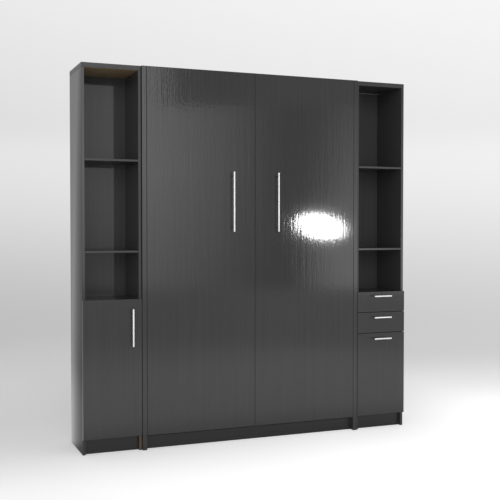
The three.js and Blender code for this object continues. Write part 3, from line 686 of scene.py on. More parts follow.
@dataclass
class Studio:
    """Camera, lamps, floor and surroundings. Lengths are in metres and turns in degrees."""

    place: Point = (-2.1215, -5.3316, 1.3374)
    turn: float = 22.004
    dip: float = 1.44
    lens: float = 64.1
    sensor: float = 36.0
    key_place: Point = (-1.4, -5.3, 1.75)
    key_target: Point = (0.0, 0.0, 1.15)
    key_power: float = 1.8
    key_angle: float = 50.0
    glare_place: Point = (2.47, -4.2, 1.35)
    glare_target: Point = (0.47, -0.17, 1.333)
    glare_power: float = 14.0
    glare_size: Pair = (0.53, 0.29)
    glare_tilt: float = -13.0
    floor_reach: float = 30.0
    floor_fade: Pair = (2.0, 6.5)
    ambient: Colour = (0.41, 0.41, 0.41)

    def camera(self) -> None:
        """Sets the camera where the photograph was taken: turned to the right and a little down."""
        data = bpy.data.cameras.new("camera")
        data.lens = self.lens
        data.sensor_width = self.sensor
        data.sensor_fit = "HORIZONTAL"
        data.clip_end = 100.0
        camera = linked("camera", data)
        yaw, pitch = math.radians(self.turn), math.radians(-self.dip)
        level = math.cos(pitch)
        ahead = Vector((math.sin(yaw) * level, math.cos(yaw) * level, math.sin(pitch)))
        camera.rotation_mode = "QUATERNION"
        camera.rotation_quaternion = ahead.to_track_quat("-Z", "Y")
        camera.location = self.place
        bpy.context.scene.camera = camera

    def lamp(
        self, name: str, kind: str, place: Point, target: Point, power: float,
    ) -> bpy.types.Object:
        """Adds a lamp.

        Args:
            name: Its name.
            kind: Blender's word for its kind.
            place: Where it stands.
            target: What it faces.
            power: Its power, in watts, or for a sun in watts per square metre.

        Returns:
            The lamp.
        """
        data = bpy.data.lights.new(name, kind)
        data.energy = power
        lamp = linked(name, data)
        lamp.location = place
        lamp.rotation_mode = "QUATERNION"
        lamp.rotation_quaternion = (Vector(target) - Vector(place)).to_track_quat("-Z", "Y")
        return lamp

    def floor_glow(self, made: Shading) -> bpy.types.NodeSocket:
        """How much the floor shines by itself, for what the camera sees and for what gloss shows.

        For the camera it grows towards the front and the right, and once more in front of the left
        tower and behind the right one. For gloss it is a strip in front of the left half that
        fades with distance, and the ground behind the set. Each part is a product of two ramps, one
        over x and one over y, or both over y.

        Args:
            made: The floor's material.

        Returns:
            The strength's socket.
        """
        g = made.graph
        x, y, _ = g.add("SeparateXYZ", {0: made.place}).outputs
        lift = g.times(g.ramp(y, 1.2, -1.6), g.ramp(x, -1.6, 0.6, 0.25, 1.0))
        lift = g.plus(g.times(lift, 0.62), 0.225)
        left_front = g.times(g.ramp(x, 0.3, -1.2), g.ramp(y, 0.3, -1.0, 0.0, 0.21))
        right_back = g.times(g.ramp(x, 0.9, 2.2), g.ramp(y, 3.0, 0.2, 0.0, 0.26))
        lift = g.plus(g.plus(lift, left_front), right_back)
        near = g.times(g.ramp(y, -0.25, -1.2), g.ramp(x, -2.2, -1.2))
        strip = g.times(g.ramp(y, -9.0, -1.8, 0.0, 0.3), near)
        behind = g.times(g.ramp(y, 3.6, 0.2, 0.0, 0.27), g.ramp(y, 0.0, 0.2))
        ray = g.add("LightPath").outputs
        seen = g.times(ray["Is Camera Ray"], lift)
        return g.plus(seen, g.times(ray["Is Glossy Ray"], g.plus(strip, behind)))

    def floor(self) -> None:
        """Lays a pale floor that takes the shadow and fades into the surroundings with distance."""
        reach = self.floor_reach
        mesh = bpy.data.meshes.new("floor")
        corners = [(-reach, -reach, 0), (reach, -reach, 0), (reach, reach, 0), (-reach, reach, 0)]
        mesh.from_pydata(corners, [], [(0, 1, 2, 3)])
        floor = linked("floor", mesh)
        made = Shading("floor")
        distance = made.graph.add("VectorMath", {0: made.place}, operation="LENGTH").outputs[1]
        made.set(Base_Color=(0.8, 0.8, 0.8), Roughness=0.9, Specular_IOR_Level=0.2)
        made.set(Emission_Color=(1.0, 1.0, 1.0), Emission_Strength=self.floor_glow(made))
        made.set(Alpha=made.graph.ramp(distance, *self.floor_fade, 1.0, 0.0))
        floor.data.materials.append(made.material)

    def backdrop(self, g: Graph, x: object, elevation: object) -> bpy.types.NodeSocket:
        """What the camera sees past the set: grey that grows paler upwards and to the right.

        Up to about 5 degrees it rises in an eased curve, and above 7 in a straight line.

        Args:
            g: The world's graph.
            x: How far the view looks to the right.
            elevation: How far it looks up, in degrees.

        Returns:
            The grey's socket.
        """
        low = g.ramp(elevation, -6.5, 4.8, 0.52, 0.775)
        high = g.slope(elevation, 5.0, 14.0, 0.715, 0.825)
        share = g.ramp(elevation, 4.6, 7.0)
        rise = g.plus(g.times(low, g.minus(1.0, share)), g.times(high, share))
        return g.plus(rise, g.slope(x, 0.1, 0.62, 0.0, 0.1))

    def mirrored_room(
        self, g: Graph, azimuth: object, elevation: object, y: object,
    ) -> bpy.types.NodeSocket:
        """What gloss shows: a dim room with bright openings to the left and right of the camera.

        The left opening dims towards its ends and downwards. The right one starts at about 26
        degrees, a little earlier low down, and dims upwards. A dim screen stands above both, the
        floor's tone lies below them, and an even grey behind the set.

        Args:
            g: The world's graph.
            azimuth: The direction's turn from the view along -Y, in degrees.
            elevation: Its rise, in degrees.
            y: Its part along +Y.

        Returns:
            The grey's socket.
        """
        left = g.slope(azimuth, 15.4, 23.8, 1.36, 0.15)
        left = g.times(left, g.ramp(azimuth, -24.0, 8.0, 0.2, 1.0))
        left = g.times(left, g.slope(elevation, -3.4, 3.6, 0.6, 1.02))
        earlier = g.slope(elevation, 3.0, -2.0, 0.0, 0.85)
        right = g.ramp(g.plus(azimuth, earlier), 25.2, 28.6)
        right = g.times(right, g.slope(elevation, 9.0, -2.0, 0.35, 1.38))
        screen = g.times(g.ramp(elevation, 7.6, 7.9), g.ramp(azimuth, 16.6, 16.85))
        walls = g.math("MAXIMUM", left, right)
        above = g.mix(screen, walls, g.ramp(azimuth, 20.0, 25.0, 0.2, 0.28))
        below = g.ramp(azimuth, 19.5, 22.5, 0.37, 0.42)
        front = g.mix(g.ramp(elevation, -3.4, -4.4), above, below)
        return g.mix(g.ramp(y, -0.15, 0.15), front, g.ramp(elevation, -6.5, 9.0, 0.37, 0.305))

    def world(self) -> None:
        """Fills the world: backdrop for the camera, room for gloss, even light for the rest."""
        world = bpy.data.worlds.new("studio")
        bpy.context.scene.world = world
        world.use_nodes = True
        world.node_tree.nodes.clear()
        g = Graph(world.node_tree)
        x, y, z = g.add("SeparateXYZ", {0: g.add("TexCoord").outputs["Generated"]}).outputs
        azimuth = g.times(g.math("ARCTAN2", x, g.times(y, -1.0)), 180 / math.pi)
        elevation = g.times(g.math("ARCSINE", z), 180 / math.pi)
        ray = g.add("LightPath").outputs
        room = self.mirrored_room(g, azimuth, elevation, y)
        lit = g.mix(ray["Is Glossy Ray"], self.ambient, room)
        tint = g.mix(ray["Is Camera Ray"], lit, self.backdrop(g, x, elevation))
        g.add("OutputWorld", {0: g.add("Background", {"Color": tint}).outputs[0]})

    def build(self) -> None:
        """Sets up the whole studio."""
        self.camera()
        self.floor()
        self.world()
        key = self.lamp("key", "SUN", self.key_place, self.key_target, self.key_power)
        key.data.angle = math.radians(self.key_angle)
        key.visible_glossy = False
        glare = self.lamp("glare", "AREA", self.glare_place, self.glare_target, self.glare_power)
        glare.data.shape = "ELLIPSE"
        glare.data.size, glare.data.size_y = self.glare_size
        tilt = Quaternion((0, 0, 1), math.radians(self.glare_tilt))
        glare.rotation_quaternion = glare.rotation_quaternion @ tilt
        bpy.context.scene.view_settings.view_transform = "Standard"
        log.info("studio: camera, floor, surroundings, %s and %s", key.name, glare.name)


# Mesh making


def circle(radius: float, sides: int) -> np.ndarray:
    """A round section, p(t) = r (cos t, sin t) for t from 0 to 2 pi.

    Args:
        radius: Its radius.
        sides: Its number of points.

    Returns:
        The section's points, one row of two each.
    """
    t = np.linspace(0, 2 * np.pi, sides, endpoint=False)
    return radius * np.stack([np.cos(t), np.sin(t)], axis=1)


def rounded(width: float, height: float, radius: float, steps: int) -> np.ndarray:
    """A rectangle with round corners: a quarter circle about each corner's centre.

    Args:
        width: Its first side.
        height: Its second side.
        radius: The corners' radius.
        steps: Points in each corner beyond the first.

    Returns:
        The section's points, one row of two each.
    """
    quarter = np.repeat(np.arange(4), steps + 1)
    turn = (quarter + np.tile(np.arange(steps + 1) / steps, 4)) * np.pi / 2
    signs = np.array([[1, 1], [-1, 1], [-1, -1], [1, -1]])[quarter]
    centres = signs * (np.array([width, height]) / 2 - radius)
    return centres + radius * np.stack([np.cos(turn), np.sin(turn)], axis=1)


def arc(centre: Pair, radius: float, start: float, end: float, steps: int) -> np.ndarray:
    """Points on an arc, c + r (cos t, sin t) for t in degrees from start to end.

    Args:
        centre: Its centre.
        radius: Its radius.
        start: Where it starts.
        end: Where it ends.
        steps: Its number of stretches.

    Returns:
        The points, one row of two each.
    """
    t = np.radians(np.linspace(start, end, steps + 1))
    return np.array(centre) + radius * np.stack([np.cos(t), np.sin(t)], axis=1)


def mark_edges(mesh: bpy.types.Mesh) -> None:
    """Stores how sharply the surface turns at each point, for wear along edges.

    The mean of the unit normals n_f of the faces round a point has the length 1 where the
    surface is flat and less at an edge, so the value is 4 (1 - |mean n_f|), at most 1.

    Args:
        mesh: The mesh, which gets the attribute "edge".
    """
    normals = np.empty(len(mesh.polygons) * 3)
    totals = np.empty(len(mesh.polygons), int)
    corners = np.empty(len(mesh.loops), int)
    mesh.polygons.foreach_get("normal", normals)
    mesh.polygons.foreach_get("loop_total", totals)
    mesh.loops.foreach_get("vertex_index", corners)
    spread = np.repeat(normals.reshape(-1, 3), totals, axis=0)
    sums = np.zeros((len(mesh.vertices), 3))
    np.add.at(sums, corners, spread)
    counts = np.bincount(corners, minlength=len(mesh.vertices))
    length = np.linalg.norm(sums, axis=1) / np.maximum(counts, 1)
    values = np.clip(4 * (1 - length), 0, 1).astype(np.float32)
    mesh.attributes.new("edge", "FLOAT", "POINT").data.foreach_set("value", values)


@contextmanager
def editing(mesh: bpy.types.Mesh) -> Iterator[bmesh.types.BMesh]:
    """Opens a mesh for bmesh's operations and writes the result back.

    Args:
        mesh: The mesh.

    Yields:
        Its editable form.
    """
    work = bmesh.new()
    work.from_mesh(mesh)
    yield work
    work.to_mesh(mesh)
    work.free()


def round_edges(made: bpy.types.Object, width: float, angle: float) -> None:
    """Gives an object's sharp edges a small rounding.

    Args:
        made: The object.
        width: The rounding's width.
        angle: The angle in degrees past which an edge is rounded.
    """
    rounding = made.modifiers.new("rounding", "BEVEL")
    rounding.width = width
    rounding.segments = 2
    rounding.limit_method = "ANGLE"
    rounding.angle_limit = math.radians(angle)
    rounding.harden_normals = True


class Surface:
    """Points and faces of one or several surfaces, which become one piece."""

    def __init__(self) -> None:
        """Starts empty."""
        self.points: list[np.ndarray] = []
        self.faces: list[list[int]] = []
        self.slots: list[int] = []
        self.count = 0

    def add(self, points: np.ndarray, *faces: np.ndarray, slot: int = 0) -> "Surface":
        """Adds points and the faces between them.

        Args:
            points: Points, one row of three each.
            *faces: Arrays with a row of point numbers for each face.
            slot: The faces' material slot.

        Returns:
            This surface.
        """
        for rows in faces:
            self.faces += (rows + self.count).tolist()
            self.slots += [slot] * len(rows)
        self.points.append(np.asarray(points, float).reshape(-1, 3))
        self.count += len(self.points[-1])
        return self

    def grid(self, points: np.ndarray, slot: int = 0, caps: bool = True) -> "Surface":
        """Adds a grid of quads, p(i, j) joined to p(i+1, j), p(i+1, j+1) and p(i, j+1).

        Each row of points closes on itself.

        Args:
            points: Rows of points, as an array of rows by columns by three.
            slot: The faces' material slot.
            caps: Whether the first and last rows are closed by a face each.

        Returns:
            This surface.
        """
        rows, columns = points.shape[:2]
        i, j = np.meshgrid(np.arange(rows - 1), np.arange(columns), indexing="ij")
        here, above, after = i * columns, (i + 1) * columns, (j + 1) % columns
        quads = np.stack([here + j, above + j, above + after, here + after], -1).reshape(-1, 4)
        if not caps:
            return self.add(points, quads, slot=slot)
        row = np.arange(columns)[None]
        return self.add(points, quads, row, rows * columns - 1 - row, slot=slot)

    def carry(
        self, section: np.ndarray, path: np.ndarray, side: Point,
        scale: np.ndarray | None = None, closed: bool = False,
    ) -> "Surface":
        """Carries a section along a path: p(i, j) = c_i + s_i (u_j side + v_j (t_i x side)).

        Args:
            section: The section's points, its first number along the side.
            path: The path's points, one row of three each.
            side: The section's first direction, across the path all along.
            scale: The section's scale at each point of the path.
            closed: Whether the path closes on itself.

        Returns:
            This surface.
        """
        path = np.asarray(path, float)
        if closed:
            tangent = np.roll(path, -1, 0) - np.roll(path, 1, 0)
        else:
            tangent = np.gradient(path, axis=0)
        tangent /= np.linalg.norm(tangent, axis=1, keepdims=True)
        across = np.asarray(side, float)
        first = across - tangent * (tangent @ across)[:, None]
        first /= np.linalg.norm(first, axis=1, keepdims=True)
        second = np.cross(tangent, first)
        scale = np.ones(len(path)) if scale is None else np.asarray(scale, float)
        spread = section[None, :, :1] * first[:, None] + section[None, :, 1:] * second[:, None]
        points = path[:, None] + scale[:, None, None] * spread
        if closed:
            return self.grid(np.concatenate([points, points[:1]]), caps=False)
        return self.grid(points)

    def turned(
        self, profile: list[Pair] | np.ndarray, origin: Point, axis: Axis, slot: int = 0,
        sides: int = 24, sign: float = 1.0,
    ) -> "Surface":
        """Turns a profile about an axis: p(i, t) = o + h_i a + r_i (cos t b + sin t c).

        Args:
            profile: Rows of height along the axis and radius.
            origin: Where height 0 lies.
            axis: The axis.
            slot: The faces' material slot.
            sides: Points round the axis.
            sign: 1 to run along the axis and -1 to run against it.

        Returns:
            This surface.
        """
        heights, radii = np.asarray(profile, float).T
        t = np.linspace(0, 2 * np.pi, sides, endpoint=False)
        a, b, c = axis.basis()
        along = heights[:, None, None] * (sign * a)
        across = radii[:, None, None] * (np.cos(t)[:, None] * b + np.sin(t)[:, None] * c)
        return self.grid(np.asarray(origin) + along + across, slot)

    def array(self) -> np.ndarray:
        """All points in one array."""
        return np.concatenate(self.points)

    def moved(self, change: Callable[[np.ndarray], np.ndarray]) -> "Surface":
        """Passes all points through a function.

        Args:
            change: Takes and gives an array of points.

        Returns:
            This surface.
        """
        self.points = [change(self.array())]
        return self

    def piece(
        self, name: str, body: str, materials: list[bpy.types.Material],
        replaces: tuple[str, ...] = (), slot: str | None = None, angle: float = 35.0,
    ) -> bpy.types.Object:
        """Makes the piece and lets it ride on a body.

        Args:
            name: The piece's name.
            body: The body it rides on.
            materials: Its materials in slot order.
            replaces: The nodes it stands for.
            slot: Not used.
            angle: The angle in degrees past which an edge is sharp.

        Returns:
            The object.
        """
        mesh = bpy.data.meshes.new(name)
        mesh.from_pydata(self.array().tolist(), [], self.faces)
        mesh.polygons.foreach_set("material_index", self.slots)
        mesh.polygons.foreach_set("use_smooth", np.ones(len(self.faces), bool))
        made = linked(name, mesh)
        with editing(mesh) as work:
            bmesh.ops.remove_doubles(work, verts=work.verts, dist=0.001 * MM)
            bmesh.ops.recalc_face_normals(work, faces=work.faces)
        mesh.set_sharp_from_angle(angle=math.radians(angle))
        mark_edges(mesh)
        for material in materials:
            mesh.materials.append(material)
        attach(made, body)
        if replaces:
            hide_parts(*replaces)
        log.info("%s: rides on %s, %d faces", name, body, len(mesh.polygons))
        return made


def dress(name: str, material: bpy.types.Material, edge: float) -> None:
    """Gives a node of the model its material, and its edges a small rounding.

    Args:
        name: The node's name.
        material: The material.
        edge: The rounding's width; 0 leaves the edges as they are.
    """
    node = NODES[name]
    node.data.materials.clear()
    node.data.materials.append(material)
    if edge:
        weld = node.modifiers.new("weld", "WELD")
        weld.merge_threshold = SAME_POINT
        round_edges(node, edge, BOARD_ANGLE)
    log.info("%s: dressed in %s", name, material.name)


def copied(
    name: str, materials: list[bpy.types.Material], bevel: float, angle: float = 35.0,
    zones: tuple[Pair, ...] = (),
) -> None:
    """Makes a welded copy of a node, smooth but for its large faces, which stands for it.

    Args:
        name: The node's name.
        materials: The copy's materials in slot order.
        bevel: The width of the rounding along its sharp edges.
        angle: The angle in degrees past which an edge is sharp.
        zones: Lowest and highest x of each material but the last; a face has the first material
            whose zone holds its middle, and the last one where none does.
    """
    node = NODES[name]
    body = node["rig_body"]
    data = node.data.copy()
    data.name = name + "_fine"
    made = linked(data.name, data)
    with editing(data) as work:
        bmesh.ops.remove_doubles(work, verts=work.verts, dist=SAME_POINT)
        if not zones:
            flat = math.radians(0.5)
            bmesh.ops.dissolve_limit(work, angle_limit=flat, verts=work.verts, edges=work.edges)
    data.materials.clear()
    for material in materials:
        data.materials.append(material)
    areas = np.empty(len(data.polygons))
    data.polygons.foreach_get("area", areas)
    data.polygons.foreach_set("use_smooth", areas < LARGE_FACE)
    data.set_sharp_from_angle(angle=math.radians(angle))
    if zones:
        middles = np.empty(len(data.polygons) * 3)
        data.polygons.foreach_get("center", middles)
        x = middles[::3]
        within = [(x > low) & (x < high) for low, high in zones]
        slots = np.select(within, range(len(zones)), len(zones))
        data.polygons.foreach_set("material_index", slots)
    round_edges(made, bevel, angle)
    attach(made, body)
    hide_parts(name)
    log.info("%s: rides on %s, %d faces", made.name, body, len(data.polygons))


# Handles


@dataclass
class BarHandle:
    """A round bar on two posts, with softly rounded ends and a collar at each post's foot."""

    node: str
    axis: Axis
    posts: float
    bar: float = 5 * MM
    post: float = 4 * MM
    collar: float = 5.4 * MM
    ease: float = 1.6 * MM

    def build(self, finishes: Finishes) -> None:
        """Builds the handle in the place of its node.

        Args:
            finishes: The set's finishes.
        """
        low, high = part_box(self.node)
        centre = (low + high) / 2
        half = (high - low)[self.axis.value] / 2
        centre.y = low.y + self.bar
        reach = high.y - centre.y
        surface = Surface()
        end = arc((half - self.ease, self.bar - self.ease), self.ease, 90, 0, 4)
        tip = np.concatenate([[[half, 0.5 * MM]], end[::-1]])
        profile = np.concatenate([tip * [-1, 1], tip[::-1]])
        surface.turned(profile, tuple(centre), self.axis, sides=32)
        foot = [
            (0.0, self.collar), (0.0012, self.collar), (0.0018, self.collar - 0.0006),
            (0.002, self.collar - 0.0016), (0.0034, self.post + 0.0004), (0.006, self.post),
            (reach - 0.0085, self.post), (reach - 0.006, self.post + 0.0002),
            (reach - 0.004, self.post + 0.0006),
        ]
        for sign in (-1, 1):
            place = centre.copy()
            place[self.axis.value] += sign * self.posts / 2
            place.y = high.y
            surface.turned(foot, tuple(place), Axis.Y, slot=1, sides=28, sign=-1.0)
        body = NODES[self.node]["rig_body"]
        # The bar takes the painted highlight and the posts the painted shade.
        materials = [finishes.bright, finishes.post]
        surface.piece(self.node + "_fine", body, materials, (self.node,), "chrome")


# Bed


@dataclass
class Mattress:
    """A mattress quilted in diamonds, its border with a seam, piping, handles and vents."""

    node: str = "mattress"
    corner: float = 55 * MM
    roll: float = 14 * MM
    cells: tuple[int, int, int] = (68, 10, 100)
    diamond: int = 8
    swell: float = 9 * MM
    swell_frames: int = 20
    seam_depth: float = 4 * MM
    piping: float = 3.2 * MM
    crown: float = 2 * MM
    hollow_depth: float = 4 * MM
    hollow_reach: float = 30 * MM
    side_hollow: float = 0.8 * MM
    handle_places: tuple[float, ...] = (1.02, 1.62)
    vent_places: tuple[float, ...] = (0.62, 0.68)

    @property
    def inset(self) -> float:
        """How far the cover is drawn in before it swells."""
        return self.swell * 0.75

    def corners(self) -> tuple[np.ndarray, np.ndarray]:
        """The model's lowest and highest corner."""
        low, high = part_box(self.node)
        return np.array(low), np.array(high)

    def outline_field(self, flat: np.ndarray, size: np.ndarray) -> tuple[np.ndarray, np.ndarray]:
        """How far points in plan lie inside the rounded outline, and which way is out.

        With q = |p| - (h - r), the depth is r - |max(q, 0)| - min(max(q_x, q_z), 0).

        Args:
            flat: The points' x and z.
            size: The outline's half sizes.

        Returns:
            The depth, 0 on the outline, and the outward direction.
        """
        q = np.abs(flat) - (size - self.corner)
        outside = np.maximum(q, 0)
        length = np.linalg.norm(outside, axis=1)
        depth = self.corner - length - np.minimum(q.max(axis=1), 0)
        nearest = np.eye(2)[q.argmax(axis=1)]
        length = length[:, None]
        normal = np.where(length > 1e-9, outside / np.maximum(length, 1e-9), nearest)
        return depth, normal * np.sign(flat)

    def form(self, base: np.ndarray, half: np.ndarray, inset: float) -> np.ndarray:
        """Rounds a box's points, first at its corners in plan, then along its edges.

        Both times a point's two distances (a, b) past the rounding's start are scaled by
        max(a, b) / hypot(a, b), which turns a square into a quarter circle.

        Args:
            base: The box's points, between -1 and 1.
            half: The box's half sizes.
            inset: How far the whole form draws in.

        Returns:
            The points.
        """
        size = half - inset
        points = base * size
        flat = points[:, [0, 2]]
        limit = size[[0, 2]] - self.corner
        inner = np.clip(flat, -limit, limit)
        rest = flat - inner
        length = np.maximum(np.linalg.norm(rest, axis=1), 1e-9)
        flat = inner + rest * (np.abs(rest).max(axis=1) / length)[:, None]
        depth, normal = self.outline_field(flat, size[[0, 2]])
        rise = np.clip(np.abs(points[:, 1]) - (size[1] - self.roll), 0, self.roll)
        side = np.clip(self.roll - depth, 0, self.roll)
        share = np.maximum(rise, side) / np.maximum(np.hypot(rise, side), 1e-9)
        points[:, 1] -= np.sign(points[:, 1]) * rise * (1 - share)
        points[:, [0, 2]] = flat - normal * (side * (1 - share))[:, None]
        return points

    def shell(self, counts: np.ndarray) -> tuple[np.ndarray, np.ndarray]:
        """The surface of a box as one closed grid of quads.

        Args:
            counts: Cells along each axis.

        Returns:
            Whole numbers i, j, k of each point, and the quads between them.
        """
        corners = []
        for axis in range(3):
            u, v = [k for k in range(3) if k != axis]
            a, b = np.meshgrid(np.arange(counts[u]), np.arange(counts[v]), indexing="ij")
            for level in (0, counts[axis]):
                quad = np.zeros((a.size, 4, 3), int)
                quad[..., axis] = level
                quad[..., u] = a.reshape(-1, 1) + np.array([0, 1, 1, 0])
                quad[..., v] = b.reshape(-1, 1) + np.array([0, 0, 1, 1])
                corners.append(quad)
        stacked = np.concatenate(corners)
        places, numbers = np.unique(stacked.reshape(-1, 3), axis=0, return_inverse=True)
        return places, numbers.reshape(-1, 4)

    def quilting(self, places: np.ndarray, counts: np.ndarray) -> np.ndarray:
        """How far each point is from the quilting's seams, from 0 on a seam to 1 between them.

        The faces' seams are the lines i + k = const and i - k = const, a diamond apart, and the
        border's is at half its height.

        Args:
            places: The points' whole numbers.
            counts: Cells along each axis.

        Returns:
            The share for each point.
        """
        i, k = places[:, 0] - counts[0] / 2, places[:, 2] - counts[2] / 2
        waves = [np.abs(np.sin(np.pi * (i + sign * k) / self.diamond)) for sign in (-1, 1)]
        faces = np.minimum(*waves)
        border = np.abs(np.sin(2 * np.pi * places[:, 1] / counts[1]))
        on_face = (places[:, 1] == 0) | (places[:, 1] == counts[1])
        rim = on_face & ((places[:, 0] % counts[0] == 0) | (places[:, 2] % counts[2] == 0))
        return np.where(rim, 0.0, np.where(on_face, faces, border))

    def swollen(self, rest: np.ndarray, quads: np.ndarray, free: np.ndarray) -> np.ndarray:
        """Lets the cover swell under pressure between its seams, as cloth.

        Args:
            rest: The points at the start.
            quads: The faces.
            free: The share by which each point may move.

        Returns:
            The points after the swelling, none further from its start than the swell.
        """
        mesh = bpy.data.meshes.new("cover")
        mesh.from_pydata(rest.tolist(), [], quads.tolist())
        cover = linked("cover", mesh)
        with editing(mesh) as work:
            bmesh.ops.recalc_face_normals(work, faces=work.faces)
        seams = cover.vertex_groups.new(name="seams")
        seams.add(np.flatnonzero(free < 0.02).tolist(), 1.0, "REPLACE")
        cloth = cover.modifiers.new("swell", "CLOTH")
        settings = cloth.settings
        settings.quality = 6
        settings.mass = 0.3
        settings.tension_stiffness = settings.compression_stiffness = 12
        settings.shear_stiffness = 4
        settings.bending_stiffness = 0.4
        settings.shrink_min = -0.05
        settings.vertex_group_mass = "seams"
        settings.use_pressure = True
        settings.uniform_pressure_force = 4
        settings.effector_weights.gravity = 0
        cloth.collision_settings.use_collision = False
        scene = bpy.context.scene
        for step in range(self.swell_frames):
            scene.frame_set(step + 1)
        evaluated = cover.evaluated_get(bpy.context.evaluated_depsgraph_get())
        flat = np.empty(len(rest) * 3)
        evaluated.data.vertices.foreach_get("co", flat)
        scene.frame_set(1)
        bpy.data.objects.remove(cover)
        shift = flat.reshape(-1, 3) - rest
        length = np.maximum(np.linalg.norm(shift, axis=1, keepdims=True), 1e-9)
        log.info("cover swells by up to %.1f mm", 1000 * float(length.max()))
        return rest + shift * np.minimum(1.0, self.swell / length)

    def cover(self, finishes: Finishes) -> None:
        """Args:
            finishes: The set's finishes.
        """
        low, high = self.corners()
        centre, half = (low + high) / 2, (high - low) / 2
        counts = np.array(self.cells)
        places, quads = self.shell(counts)
        base = places / counts * 2 - 1
        free = self.quilting(places, counts)
        rest = self.form(base, half, self.inset)
        inward = np.zeros_like(rest)
        on_face = (places[:, 1] == 0) | (places[:, 1] == counts[1])
        inward[on_face, 1] = -np.sign(base[on_face, 1])
        off_rim = np.abs(base[:, [0, 2]]).max(axis=1) < 0.99
        seam = np.exp(-((free / 0.16) ** 2)) * on_face * off_rim
        rest = rest + inward * (self.seam_depth * seam)[:, None]
        points = self.swollen(rest, quads, free)
        points = self.pressed(points + centre, low, high)
        surface = Surface()
        surface.add(points, quads)
        middles = on_face[quads].all(axis=1)
        surface.slots = np.where(middles, 0, 1).tolist()
        materials = [finishes.ticking, finishes.border]
        made = surface.piece(
            "mattress_cover", "bed", materials, (self.node,), "ticking", angle=180.0,
        )
        smoothing = made.modifiers.new("smoothing", "SUBSURF")
        smoothing.levels = smoothing.render_levels = 1

    def pressed(self, points: np.ndarray, low: np.ndarray, high: np.ndarray) -> np.ndarray:
        """Flattens the cover where it lies on the slats and where the strap crosses it.

        The strap's hollow is h = exp(-((z - z0) / reach)^2): the top stays under top + crown -
        depth h, and the sides are drawn in by the side hollow times h.

        Args:
            points: The cover's points.
            low: The model's lowest corner.
            high: Its highest corner.

        Returns:
            The points.
        """
        strap_low, strap_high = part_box("mattress_strap")
        middle = (strap_low.z + strap_high.z) / 2
        hollow = np.exp(-(((points[:, 2] - middle) / self.hollow_reach) ** 2))
        ceiling = high[1] + self.crown - self.hollow_depth * hollow
        points[:, 1] = np.clip(points[:, 1], low[1], ceiling)
        wide = high[0] - self.side_hollow * hollow
        points[:, 0] = np.clip(points[:, 0], -wide, wide)
        return points

    def outline(self, inset: float, y: float) -> np.ndarray:
        """The rounded outline in plan as a closed path.

        Args:
            inset: How far it draws in.
            y: Its height.

        Returns:
            The path's points.
        """
        low, high = self.corners()
        size = (high - low)[[0, 2]] - 2 * inset
        flat = rounded(size[0], size[1], self.corner - inset, 8)
        centre = (low + high) / 2
        x, z = flat[:, 0] + centre[0], flat[:, 1] + centre[2]
        return np.stack([x, np.full(len(flat), y), z], axis=1)

    def edges(self, finishes: Finishes) -> None:
        """Lays the piping along both edges.

        Args:
            finishes: The set's finishes.
        """
        low, high = self.corners()
        piping = Surface()
        inset = self.inset + self.roll * 0.3 - self.piping * 0.4
        for y in (low[1] + inset, high[1] - inset):
            piping.carry(circle(self.piping, 10), self.outline(inset, y), (0, 1, 0), closed=True)
        piping.piece("mattress_piping", "bed", [finishes.border], slot="ticking")

    def fittings(self, finishes: Finishes) -> None:
        """Sews the webbing handles to the border and sets the air vents into it.

        A handle stands off the border by 4.5 mm + 3.5 mm (1 - |t|^6), t from -1 to 1 along it.

        Args:
            finishes: The set's finishes.
        """
        low, high = self.corners()
        middle = (low[1] + high[1]) / 2
        rim = [
            (0, 0.0095), (0.0012, 0.0095), (0.002, 0.0082), (0.002, 0.006), (0.0006, 0.0048),
            (0.0004, 0.0005),
        ]
        t = np.linspace(-1, 1, 25)
        lift = 0.0035 * np.clip(1 - np.abs(t) ** 6, 0, 1) + 0.0045
        handles, vents = Surface(), Surface()
        for side in Side:
            wall = side.value * (high[0] - self.inset)
            for z in self.handle_places:
                x = wall + side.value * lift
                path = np.stack([x, np.full(25, middle), z + 0.1 * t], axis=1)
                handles.carry(rounded(0.032, 0.0018, 0.0008, 2), path, (0, 1, 0))
                for end in (-1, 1):
                    x = wall + side.value * 0.0048
                    patch = [[x, middle, z + end * (0.095 + 0.006 * k)] for k in range(4)]
                    handles.carry(rounded(0.036, 0.003, 0.0012, 2), np.array(patch), (0, 1, 0))
            for z in self.vent_places:
                place = (wall - side.value * 0.0004, middle + 0.045, z)
                vents.turned(rim, place, Axis.X, sign=side.value)
        handles.piece("mattress_handles", "bed", [finishes.webbing], slot="webbing")
        vents.piece("mattress_vents", "bed", [finishes.zinc])

    def build(self, finishes: Finishes) -> None:
        """Builds the mattress.

        Args:
            finishes: The set's finishes.
        """
        self.cover(finishes)
        self.edges(finishes)
        self.fittings(finishes)


